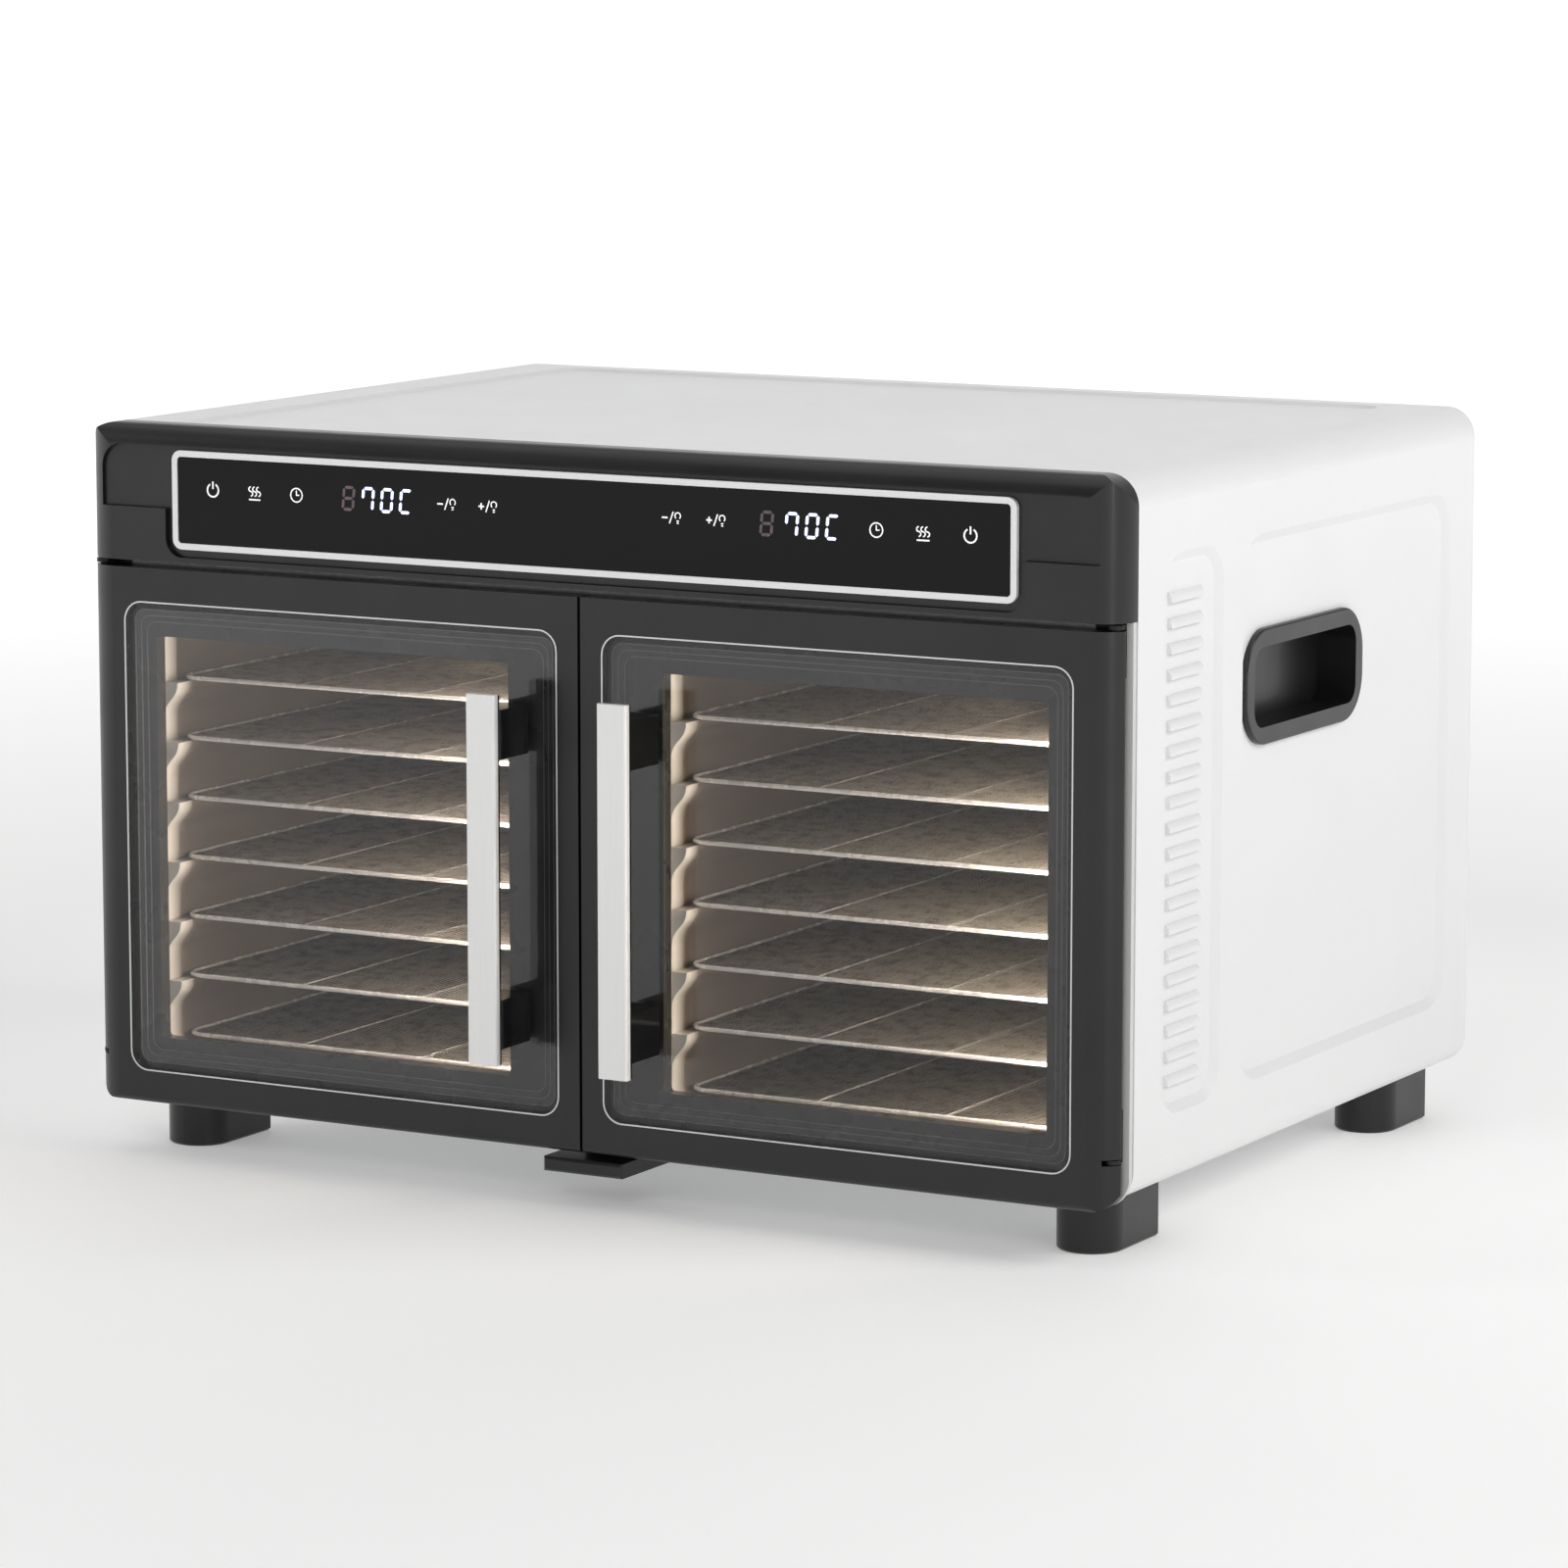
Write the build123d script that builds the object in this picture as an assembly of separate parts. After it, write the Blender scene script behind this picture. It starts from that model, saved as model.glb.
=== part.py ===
from build123d import *
import math
import os

# A two-zone food dehydrator: a painted steel cabinet with a black control head above two
# glazed doors. Behind each door a ribbed liner carries seven mesh trays, and a fan and a ring
# heater stand behind a perforated guard at the back.
#
# Everything is drawn with X across, Y back from the front face of the doors and Z up from the
# underside of the doors. save() then moves it so that the origin is on the floor, under the
# centre of the whole object. The right-hand half is drawn, and the left is its mirror image.

# ---- overall size ----
BODY_WIDTH = 560.0
BODY_HEIGHT = 333.0
BODY_DEPTH = 398.0
FOOT_HEIGHT = 26.5
CORNER_R = 15.0          # long edges of the body
SIDE_R = 16.0            # front face into the sides
TOP_FRONT_R = 10.0       # front face into the top
BOTTOM_FRONT_R = 3.0     # front face into the underside
STEEL = 1.2              # cabinet sheet
FIT = 0.2                # between pieces that slot together
RUN = 0.05               # radial, shaft in its hole
APART = 0.8              # between pieces that move past each other

# ---- control head ----
HEAD_H = 66.0
HEAD_T = 17.5
HEAD_WALL = 2.5
HEAD_LIP = 6.5           # rear lip inside the cabinet
RECESS = 2.5
RECESS_SIDE = 11.0
RECESS_TOP = 9.5
RECESS_LEDGE = 26.0      # height of the ledge above the head's underside
RECESS_R = 12.0
PANEL_MARGIN = 52.1      # side of the body to the panel
PANEL_BOTTOM = 6.6
PANEL_H = 47.8
PANEL_R = 5.0
PANEL_GAP = 4.0          # panel to the recess around its lower half
TRIM_W = 3.0
TRIM_PROUD = 2.3
GLASS_PROUD = 1.8
BOARD_T = 1.6
BOARD_GAP = 4.0
KEY_R = 4.5
KEY_Z = 36.3
KEY_X = (49.2, 73.0, 156.6, 180.5, 204.6)
DISPLAY_X = 116.0
DISPLAY_W = 52.0
DISPLAY_H = 18.0

# ---- doors ----
HEAD_GAP = 3.5
SEAM_GAP = 1.5
DOOR_T = 12.5
NOSE_R = 4.2             # rolled rear corner about the hinge pin
WINDOW_SEAM = 12.0
WINDOW_SIDE = 23.0
WINDOW_TOP = 16.3
WINDOW_BOTTOM = 15.9
WINDOW_R = 10.0
GLASS_T = 3.2
OPEN_SEAM = 30.0         # see-through opening, in from the edges of the glass
OPEN_SIDE = 15.0
OPEN_TOP = 17.3
OPEN_BOTTOM = 16.3
OPEN_R = 2.0
TERRACE_R = 6.0
TERRACES = (4.0, 7.0, 10.0)
TERRACE_STEP = 0.7
SURROUND_LAP = 3.0
SEAL_GROOVE = 1.2
SEAL_PROUD = 0.5
SEAL_W = 5.0
SEAL_OFFSET = 1.5
MAGNET_R = 3.0
MAGNET_T = 3.0
MAGNET_INSET = 30.0
MAGNET_X = 4.9

# ---- door handles ----
BAR_IN = 27.5
BAR_W = 15.8
BAR_T = 3.5
BAR_EDGE_R = 1.6
BAR_BOTTOM = 44.0
BAR_TOP = 44.3           # below the top of the door
BACKING_T = 2.0
BACKING_INSET = 0.4
BRACKET_H = 23.3
BRACKET_INSET = 7.5
HANDLE_PROUD = 31.0

# ---- hinges ----
PIN_R = 1.9
PIN_L = 12.0
HINGE_T = 1.9
HINGE_LEAF_W = 15.0
HINGE_LEAF_H = 24.0
HINGE_Z = 22.0
HINGE_SLOT = 0.4
HINGE_EDGE = 2.4         # arm to the outer edge of the leaf

# ---- steel front frame ----
FRAME_GAP = 0.8
FRAME_RIM = 2.5
FRAME_PLUG = 8.2

# ---- cabinet sheet ----
WRAP_BOTTOM = 2.0
WRAP_FLANGE_PAST_FEET = 6.0
REAR_LIP = 3.0
REAR_FLANGE = 12.0
EMBOSS = 3.0
EMBOSS_BEVEL = 4.5
TOP_PANEL_SIDE = 42.0
TOP_PANEL_BACK = 13.0
TOP_PANEL_DEPTH = 1.5
TOP_PANEL_BEVEL = 2.0
SIDE_PANEL_FRONT = 128.0
SIDE_PANEL_BACK = 29.0
SIDE_PANEL_BOTTOM = 37.2
SIDE_PANEL_TOP = 38.8
SIDE_PANEL_R = 20.0
LOUVRE_STRIP_FRONT = 44.5
LOUVRE_STRIP_W = 62.5
LOUVRE_STRIP_BOTTOM = 36.4
LOUVRE_STRIP_R = 18.0
LOUVRE_COUNT = 20
LOUVRE_LEN = 34.0
LOUVRE_IN = 9.2          # front edge of the strip to the louvres
LOUVRE_LOW_END = 13.3    # lower end of the strip to the lowest louvre
LOUVRE_TOP_END = 18.0    # upper end of the strip to the highest louvre
LOUVRE_H = 4.6
LOUVRE_PROUD = 2.4
LOUVRE_SHEET = 0.9

# ---- side grips ----
GRIP_FRONT = 133.0
GRIP_LEN = 131.7
GRIP_TOP = 83.7
GRIP_H = 54.8
GRIP_R = 22.0
GRIP_LIP = 8.5
GRIP_LIP_T = 3.0
GRIP_DEPTH = 22.0
GRIP_WALL = 2.0
GRIP_POCKET_R = 9.0

# ---- liners, one for each zone ----
LINER_SEAM = 38.5
LINER_SIDE = 32.5
LINER_BOTTOM = 25.5
LINER_TOP = 26.5
LINER_FRONT = 19.0
LINER_T = 1.0
LINER_R = 6.0
LINER_BACK = 31.0        # rear of the liner to the rear of the body
PLENUM = 28.0            # guard to the liner's back wall
GUARD_T = 1.0
TRAY_COUNT = 7
TRAY_BOTTOM = 4.3        # liner floor to the middle of the lowest tray
TRAY_TOP = 30.2          # top of the liner to the middle of the highest tray
TRAY_SIDE = 1.0
TRAY_FRONT = 29.0
TRAY_BACK = 10.0
TRAY_R = 10.0
RAIL_R = 1.1
MESH_T = 0.8
MESH_STRAND = 1.2
MESH_COLUMNS = 8
MESH_ROWS = 12
LEDGE_W = 8.0
LEDGE_H = 17.0
LEDGE_GAP = 0.4

# ---- fans, heaters and other works ----
GUARD_RINGS = (10.0, 20.0, 30.0, 40.0, 50.0)
GUARD_HOLE_R = 3.0
GUARD_RING_STEP = 6
GUARD_SLOTS = 9
GUARD_SLOT_W = 10.0
GUARD_SLOT_H = 4.0
GUARD_SLOT_IN = 14.0
FAN_R = 60.0
FAN_HUB_R = 11.0
FAN_PLATE_T = 1.2
FAN_DEPTH = 16.0
FAN_BLADES = 12
FAN_BLADE_T = 1.2
FAN_GAP = 4.0
SHAFT_R = 3.0
SHAFT_HOLE_R = 8.0
HEATER_R = 76.0
HEATER_TUBE_R = 3.5
HEATER_BEND = 7.0        # radius of the bends into the tails
HEATER_TAIL = 10.0
MOTOR_R = 29.0
MOTOR_L = 20.0
MOTOR_FLANGE = 70.0
MOTOR_FLANGE_T = 1.5
MOTOR_END = 3.0
SENSOR_R = 2.0
SENSOR_Z = 36.0          # below the top of the liner
SENSOR_REACH = 8.0
LAMP_R = 12.0
LAMP_DROP = 5.0
LAMP_BASE_R = 9.0
LAMP_BASE_H = 16.0
LAMP_Y = 170.0
POWER_BOARD_W = 130.0
POWER_BOARD_D = 80.0
POWER_BOARD_Y = 210.0
POWER_BOARD_LIFT = 10.0
POST_R = 3.0
INLET_X = 190.0
INLET_Z = 40.0
INLET_W = 32.0
INLET_H = 24.0
INLET_T = 2.0
INLET_SOCKET_W = 25.0
INLET_SOCKET_H = 17.0
INLET_DEPTH = 18.0
INLET_WALL = 2.0

# ---- base, feet and fasteners ----
PAN_FLANGE = 12.0
VENT_ROWS = 5
VENT_L = 40.0
VENT_W = 3.0
VENT_PITCH = 10.0
FOOT_W = 32.0
FOOT_SIDE = 18.0
FOOT_FRONT = 28.0
FOOT_FRONT_L = 53.0
FOOT_BACK = 8.0
FOOT_BACK_L = 52.0
FOOT_TAPER = 1.0
CATCH_W = 43.0
CATCH_T = 7.0
CATCH_GAP = 3.5
CATCH_FRONT = 0.5
CATCH_L = 52.0
CATCH_EDGE = 1.2
RISER_W = 32.0
RISER_L = 22.0
SCREW_R = 2.0
SCREW_HEAD_R = 3.6
SCREW_HEAD_H = 1.8
SCREW_L = 12.0
SCREW_HOLE = 0.3
REAR_SCREW_INSET = 7.0

# ---- what follows from the sizes above ----
HALF = BODY_WIDTH / 2
DOOR_H = BODY_HEIGHT - HEAD_H - HEAD_GAP
HEAD_Z = BODY_HEIGHT - HEAD_H
PLUG_IN = STEEL + FIT
ORIGIN_Y = (BODY_DEPTH - HANDLE_PROUD) / 2
HINGE_Y = DOOR_T - NOSE_R
HINGE_X = HALF - SIDE_R + math.sqrt(SIDE_R ** 2 - (SIDE_R - HINGE_Y) ** 2) - NOSE_R
FRAME_Y = DOOR_T + FRAME_GAP
LINER_X0 = LINER_SEAM
LINER_X1 = HALF - LINER_SIDE
LINER_Z0 = LINER_BOTTOM
LINER_Z1 = DOOR_H - LINER_TOP
LINER_END = BODY_DEPTH - LINER_BACK
GUARD_Y = LINER_END - LINER_T - PLENUM
ZONE_X = (LINER_X0 + LINER_X1) / 2
ZONE_Z = (LINER_Z0 + LINER_Z1) / 2
TRAY_PITCH = (LINER_Z1 - TRAY_TOP - LINER_Z0 - TRAY_BOTTOM) / (TRAY_COUNT - 1)
REAR_Y = BODY_DEPTH - REAR_LIP
PAN_Z = WRAP_BOTTOM + STEEL
FLANGE_X = HALF - FOOT_SIDE - FOOT_W - WRAP_FLANGE_PAST_FEET
PANEL_Z = HEAD_Z + PANEL_BOTTOM
PANEL_X = HALF - PANEL_MARGIN
GLASS_R = PANEL_R - TRIM_W + 1.0
BRACKET_Y = HANDLE_PROUD - BAR_T

os.makedirs("parts", exist_ok=True)


# ---- drawing helpers ----
def block(x0, x1, y0, y1, z0, z1):
    """A box between two corners."""
    return Pos((x0 + x1) / 2, (y0 + y1) / 2, (z0 + z1) / 2) * Box(x1 - x0, y1 - y0, z1 - z0)


def front_slab(outline, y0, y1):
    """An outline in X and Z, solid from depth y0 back to y1."""
    plane = Plane(origin=(0, y1, 0), x_dir=(1, 0, 0), z_dir=(0, -1, 0))
    return extrude(plane * outline, amount=y1 - y0)


def side_outline(outline, x):
    """An outline in Y and Z, placed at the given X."""
    return Plane(origin=(x, 0, 0), x_dir=(0, 1, 0), z_dir=(1, 0, 0)) * outline


def rounded(a0, a1, b0, b1, r):
    """A rounded rectangle between two corners of a drawing plane."""
    return Pos((a0 + a1) / 2, (b0 + b1) / 2) * RectangleRounded(a1 - a0, b1 - b0, r)


def post(x, y, z0, z1, r):
    """An upright cylinder."""
    return Pos(x, y, (z0 + z1) / 2) * Cylinder(r, z1 - z0)


def bar_back(x, z, y0, y1, r):
    """A cylinder that lies along Y."""
    return Pos(x, (y0 + y1) / 2, z) * Rot(90, 0, 0) * Cylinder(r, y1 - y0)


def both(piece):
    """A piece and its mirror image, as separate solids."""
    return [piece, mirror(piece, about=Plane.YZ)]


def solids_of(shapes):
    """Every solid in a shape or in a list of shapes."""
    if not isinstance(shapes, list):
        shapes = [shapes]
    return [solid for shape in shapes for solid in shape.solids()]


def save(name, shapes):
    """Write one node, moved to the origin on the floor."""
    moved = [Pos(0, -ORIGIN_Y, FOOT_HEIGHT) * solid for solid in solids_of(shapes)]
    node = moved[0] if len(moved) == 1 else Compound(children=moved)
    node.label = name
    export_step(node, f"parts/{name}.step")


def save_pair(name, piece):
    """Write the right-hand piece and the left-hand one."""
    right, left = both(piece)
    save(f"right_{name}", right)
    save(f"left_{name}", left)


# ---- the body's outer form ----
def body_form(y0, y1, z0, z1):
    """The rounded form of the whole body between two depths and two heights."""
    face = front_slab(rounded(-HALF, HALF, 0, BODY_HEIGHT, CORNER_R), y0, y1)
    plan = fillet(
        (Pos(0, HEAD_T) * Rectangle(BODY_WIDTH, 2 * HEAD_T)).vertices().sort_by(Axis.Y)[:2],
        SIDE_R,
    )
    profile = Pos(HEAD_T, BODY_HEIGHT / 2) * Rectangle(2 * HEAD_T, BODY_HEIGHT)
    front_edge = profile.vertices().sort_by(Axis.X)[:2]
    profile = fillet(front_edge.sort_by(Axis.Y)[1:], TOP_FRONT_R)
    front_edge = profile.vertices().group_by(Axis.X)[0]
    profile = fillet(front_edge.sort_by(Axis.Y)[:1], BOTTOM_FRONT_R)
    rolled = extrude(plan, amount=BODY_HEIGHT)
    rolled &= extrude(side_outline(profile, -HALF), amount=BODY_WIDTH)
    return face & rolled & block(-HALF, HALF, y0, y1, z0, z1)


def inside_cabinet(y0, y1, z0, z1):
    """The room inside the cabinet sheet, less a fit."""
    inset = PLUG_IN
    outline = rounded(
        -HALF + inset, HALF - inset, PAN_Z + FIT, BODY_HEIGHT - inset, CORNER_R - inset)
    return front_slab(outline, y0, y1) & block(-HALF, HALF, y0, y1, z0, z1)


# ---- cabinet sheet ----
def pressed_panel(outline_of, x_out, depth, bevel):
    """A pressed-in area on the right-hand side: the cut from outside and its backing."""
    wide = side_outline(outline_of(0), x_out)
    narrow = side_outline(outline_of(bevel), x_out - depth)
    cut = loft([wide, narrow], ruled=True)
    wide_back = side_outline(outline_of(-STEEL), x_out - STEEL)
    narrow_back = side_outline(outline_of(bevel - STEEL), x_out - depth - STEEL)
    return cut, loft([wide_back, narrow_back], ruled=True)


def side_panel_outline(inset):
    """Outline of the large pressed panel in Y and Z."""
    return rounded(
        SIDE_PANEL_FRONT + inset, BODY_DEPTH - SIDE_PANEL_BACK - inset,
        SIDE_PANEL_BOTTOM + inset, BODY_HEIGHT - SIDE_PANEL_TOP - inset, SIDE_PANEL_R - inset,
    )


def louvre_strip_outline(inset):
    """Outline of the narrow pressed strip that carries the louvres."""
    return rounded(
        LOUVRE_STRIP_FRONT + inset, LOUVRE_STRIP_FRONT + LOUVRE_STRIP_W - inset,
        LOUVRE_STRIP_BOTTOM + inset, BODY_HEIGHT - SIDE_PANEL_TOP - inset, LOUVRE_STRIP_R - inset,
    )


def hood_profile(reach, height):
    """Quarter of an ellipse in X and Z, flat against the sheet."""
    quarter = Ellipse(reach, height) & Pos(reach / 2, height / 2) * Rectangle(reach, height)
    return quarter


def louvres():
    """The hoods of one side, and the slots under them."""
    floor_x = HALF - EMBOSS
    y0 = LOUVRE_STRIP_FRONT + LOUVRE_IN
    z0 = LOUVRE_STRIP_BOTTOM + LOUVRE_LOW_END
    span = BODY_HEIGHT - SIDE_PANEL_TOP - LOUVRE_TOP_END - LOUVRE_H - z0
    wall = LOUVRE_SHEET
    outer = hood_profile(LOUVRE_PROUD, LOUVRE_H)
    inner = hood_profile(LOUVRE_PROUD - wall, LOUVRE_H - wall)
    hoods = []
    slots = []
    for number in range(LOUVRE_COUNT):
        at = Pos(floor_x, 0, z0 + span * number / (LOUVRE_COUNT - 1))
        hood = at * front_slab(outer, y0, y0 + LOUVRE_LEN)
        hood -= at * front_slab(inner, y0 + wall, y0 + LOUVRE_LEN - wall)
        hoods += hood.solids()
        slots.append(at * block(-2 * STEEL, 0, y0 + wall, y0 + LOUVRE_LEN - wall, 0, LOUVRE_H - wall))
    return hoods, slots


def grip_hole():
    """The hole for a side grip."""
    inset = GRIP_LIP - GRIP_WALL - FIT
    outline = rounded(
        GRIP_FRONT + inset, GRIP_FRONT + GRIP_LEN - inset,
        BODY_HEIGHT - GRIP_TOP - GRIP_H + inset, BODY_HEIGHT - GRIP_TOP - inset,
        GRIP_POCKET_R + GRIP_WALL + FIT,
    )
    return extrude(side_outline(outline, HALF - 3 * EMBOSS), amount=4 * EMBOSS)


def cabinet_wrap():
    """Top and sides in one folded sheet, with pressed panels, louvres and rear flanges."""
    outer = rounded(-HALF, HALF, WRAP_BOTTOM, BODY_HEIGHT, CORNER_R)
    inner = rounded(-HALF + STEEL, HALF - STEEL, PAN_Z, BODY_HEIGHT - STEEL, CORNER_R - STEEL)
    wrap = front_slab(outer, HEAD_T, BODY_DEPTH)
    flange_y = REAR_Y - STEEL
    wrap -= front_slab(inner, HEAD_T, flange_y - STEEL)
    wrap -= front_slab(inner, flange_y, BODY_DEPTH)
    mouth = rounded(
        -HALF + REAR_FLANGE, HALF - REAR_FLANGE, PAN_Z, BODY_HEIGHT - REAR_FLANGE, CORNER_R / 2)
    wrap -= front_slab(mouth, HEAD_T, BODY_DEPTH)
    wrap -= block(-FLANGE_X, FLANGE_X, HEAD_T, BODY_DEPTH, 0, PAN_Z)
    cuts = []
    for outline_of in (side_panel_outline, louvre_strip_outline):
        cut, backing = pressed_panel(outline_of, HALF, EMBOSS, EMBOSS_BEVEL)
        wrap += both(backing)
        cuts += both(cut)
    top_x = HALF - TOP_PANEL_SIDE
    top_y = BODY_DEPTH - TOP_PANEL_BACK
    top_z = BODY_HEIGHT - TOP_PANEL_DEPTH
    wrap += block(-top_x, top_x, HEAD_T, top_y, top_z - STEEL, BODY_HEIGHT - STEEL)
    bevel = TOP_PANEL_BEVEL
    top = Plane.XY.offset(BODY_HEIGHT) * rounded(-top_x, top_x, -top_y, top_y, CORNER_R)
    floor = Plane.XY.offset(top_z) * rounded(
        -top_x + bevel, top_x - bevel, -top_y, top_y - bevel, CORNER_R - bevel)
    cuts.append(loft([top, floor], ruled=True))
    hoods, slots = louvres()
    wrap -= cuts
    wrap += [piece for hood in hoods for piece in both(hood)]
    holes = [piece for slot in slots for piece in both(slot)] + both(grip_hole())
    holes += [bar_back(x, z, flange_y - 2 * STEEL, REAR_Y, SCREW_R + SCREW_HOLE)
              for x, z in rear_screw_places()]
    holes += [post(x, y, 0, PAN_Z, SCREW_R + SCREW_HOLE) for x, y in foot_screw_places()]
    return wrap - holes


def rear_screw_places():
    """X and Z of the screws round the rear panel."""
    side = HALF - REAR_SCREW_INSET
    top = BODY_HEIGHT - REAR_SCREW_INSET
    low = WRAP_BOTTOM + CORNER_R
    high = BODY_HEIGHT - CORNER_R
    places = [(side, low), (side, (low + high) / 2), (side, high), (side / 2, top)]
    return places + [(-x, z) for x, z in places]


def rear_panel():
    """Back plate with an intake grille behind each fan and a cut-out for the inlet."""
    inset = PLUG_IN
    outline = rounded(
        -HALF + inset, HALF - inset, PAN_Z + FIT, BODY_HEIGHT - inset, CORNER_R - inset)
    holes = Sketch()
    for x in (-ZONE_X, ZONE_X):
        for ring in GUARD_RINGS[:-1]:
            count = round(ring / GUARD_RINGS[0]) * GUARD_RING_STEP
            holes += [Pos(x, ZONE_Z) * spot
                      for spot in PolarLocations(ring, count) * Circle(GUARD_HOLE_R)]
    for x, z in rear_screw_places():
        holes += Pos(x, z) * Circle(SCREW_R + SCREW_HOLE)
    holes += Pos(INLET_X, INLET_Z) * Rectangle(
        INLET_SOCKET_W + 2 * INLET_WALL + 2 * FIT, INLET_SOCKET_H + 2 * INLET_WALL + 2 * FIT)
    return front_slab(outline - holes, REAR_Y - STEEL, REAR_Y)


def base_pan():
    """Bottom plate with turned-up ends and rows of air slots."""
    x = HALF - CORNER_R
    y0 = FRAME_Y + FRAME_RIM + FRAME_PLUG + FIT
    y1 = REAR_Y - 2 * STEEL - FIT
    pan = block(-x, x, y0, y1, PAN_Z, PAN_Z + STEEL)
    pan += block(-x, x, y0, y0 + STEEL, PAN_Z, PAN_Z + PAN_FLANGE)
    pan += block(-x, x, y1 - STEEL, y1, PAN_Z, PAN_Z + PAN_FLANGE)
    middle = (y0 + y1) / 2
    slot = SlotOverall(VENT_L, VENT_W)
    spots = [Pos(x, middle) * spot for x in (-ZONE_X, ZONE_X)
             for spot in GridLocations(VENT_L * 1.25, VENT_PITCH, 2, VENT_ROWS) * slot]
    pan -= extrude(Plane.XY.offset(PAN_Z) * (Sketch() + spots), amount=STEEL)
    holes = [post(x, y, PAN_Z, PAN_Z + STEEL, SCREW_R + SCREW_HOLE)
             for x, y in foot_screw_places() + catch_screw_places()]
    return pan - holes


# ---- control head and panel ----
def recess_outline():
    """Wide above the ledge, narrow beside the panel, as seen from the front."""
    wide = HALF - RECESS_SIDE
    narrow = PANEL_X + PANEL_GAP
    ledge = HEAD_Z + RECESS_LEDGE
    top = BODY_HEIGHT - RECESS_TOP
    upper = rounded(-wide, wide, ledge - RECESS_R, top, RECESS_R)
    upper -= Pos(0, ledge - RECESS_R / 2) * Rectangle(2 * wide, RECESS_R)
    lower = rounded(-narrow, narrow, PANEL_Z - PANEL_GAP, top, PANEL_R + PANEL_GAP)
    return upper + lower


def panel_outline(inset):
    """Outline of the control panel, in from its outer edge."""
    return rounded(-PANEL_X + inset, PANEL_X - inset, PANEL_Z + inset, PANEL_Z + PANEL_H - inset,
                   max(PANEL_R - inset, 1.0))


def control_head():
    """Moulded head with a recess for the panel, hollow from behind."""
    head = body_form(0, HEAD_T, HEAD_Z, BODY_HEIGHT)
    head += inside_cabinet(HEAD_T, HEAD_T + HEAD_LIP, HEAD_Z, BODY_HEIGHT)
    cavity = block(
        -HALF + SIDE_R, HALF - SIDE_R, RECESS + HEAD_WALL, HEAD_T + HEAD_LIP,
        HEAD_Z + HEAD_WALL, BODY_HEIGHT - CORNER_R + HEAD_WALL)
    window = front_slab(panel_outline(TRIM_W + HEAD_WALL), RECESS, RECESS + HEAD_WALL)
    x = HALF - TOP_PANEL_SIDE + FIT
    z = BODY_HEIGHT - TOP_PANEL_DEPTH - PLUG_IN
    lip_top = block(-x, x, HEAD_T, HEAD_T + HEAD_LIP, z, BODY_HEIGHT)
    return head - [cavity, window, lip_top, front_slab(recess_outline(), 0, RECESS)]


def panel_trim():
    """Bright ring round the control glass."""
    ring = panel_outline(0) - panel_outline(TRIM_W)
    return front_slab(ring, RECESS - TRIM_PROUD, RECESS)


def control_glass():
    """Black glass inside the ring."""
    return front_slab(panel_outline(TRIM_W + FIT / 2), RECESS - GLASS_PROUD, RECESS)


def control_board():
    """Circuit board with a sprung touch pad behind each key."""
    y = RECESS + BOARD_GAP
    margin = TRIM_W + HEAD_WALL + 2 * FIT
    board = front_slab(panel_outline(margin), y + HEAD_WALL, y + HEAD_WALL + BOARD_T)
    pads = [bar_back(side * x, HEAD_Z + KEY_Z, RECESS, y + HEAD_WALL, KEY_R)
            for x in KEY_X for side in (-1, 1)]
    return board + pads


def display_modules():
    """One digit display for each zone, against the back of the glass."""
    z = HEAD_Z + KEY_Z
    y1 = RECESS + BOARD_GAP + HEAD_WALL
    module = block(DISPLAY_X - DISPLAY_W / 2, DISPLAY_X + DISPLAY_W / 2, RECESS, y1,
                   z - DISPLAY_H / 2, z + DISPLAY_H / 2)
    return both(module)


# ---- doors (right-hand one) ----
def window_outline(grow):
    """Outline of the door glass, grown outwards."""
    return rounded(
        WINDOW_SEAM - grow, HALF - WINDOW_SIDE + grow,
        WINDOW_BOTTOM - grow, DOOR_H - WINDOW_TOP + grow, max(WINDOW_R + grow, TERRACE_R),
    )


def opening_outline():
    """Outline of the see-through opening behind the glass."""
    return rounded(
        WINDOW_SEAM + OPEN_SEAM, HALF - WINDOW_SIDE - OPEN_SIDE,
        WINDOW_BOTTOM + OPEN_BOTTOM, DOOR_H - WINDOW_TOP - OPEN_TOP, OPEN_R,
    )


def seal_outline(grow):
    """The seal's ring lies just outside the liner's mouth."""
    out = LINER_T + SEAL_OFFSET + grow
    return rounded(LINER_X0 - out, LINER_X1 + out, LINER_Z0 - out, LINER_Z1 + out, LINER_R + out)


def seal_ring(extra):
    """The seal's ring, or its groove when it is given some extra."""
    return seal_outline(SEAL_W + extra) - seal_outline(-extra)


def magnet_places():
    """X and Z of a door's magnets."""
    return [(MAGNET_X, MAGNET_INSET), (MAGNET_X, DOOR_H - MAGNET_INSET)]


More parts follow.
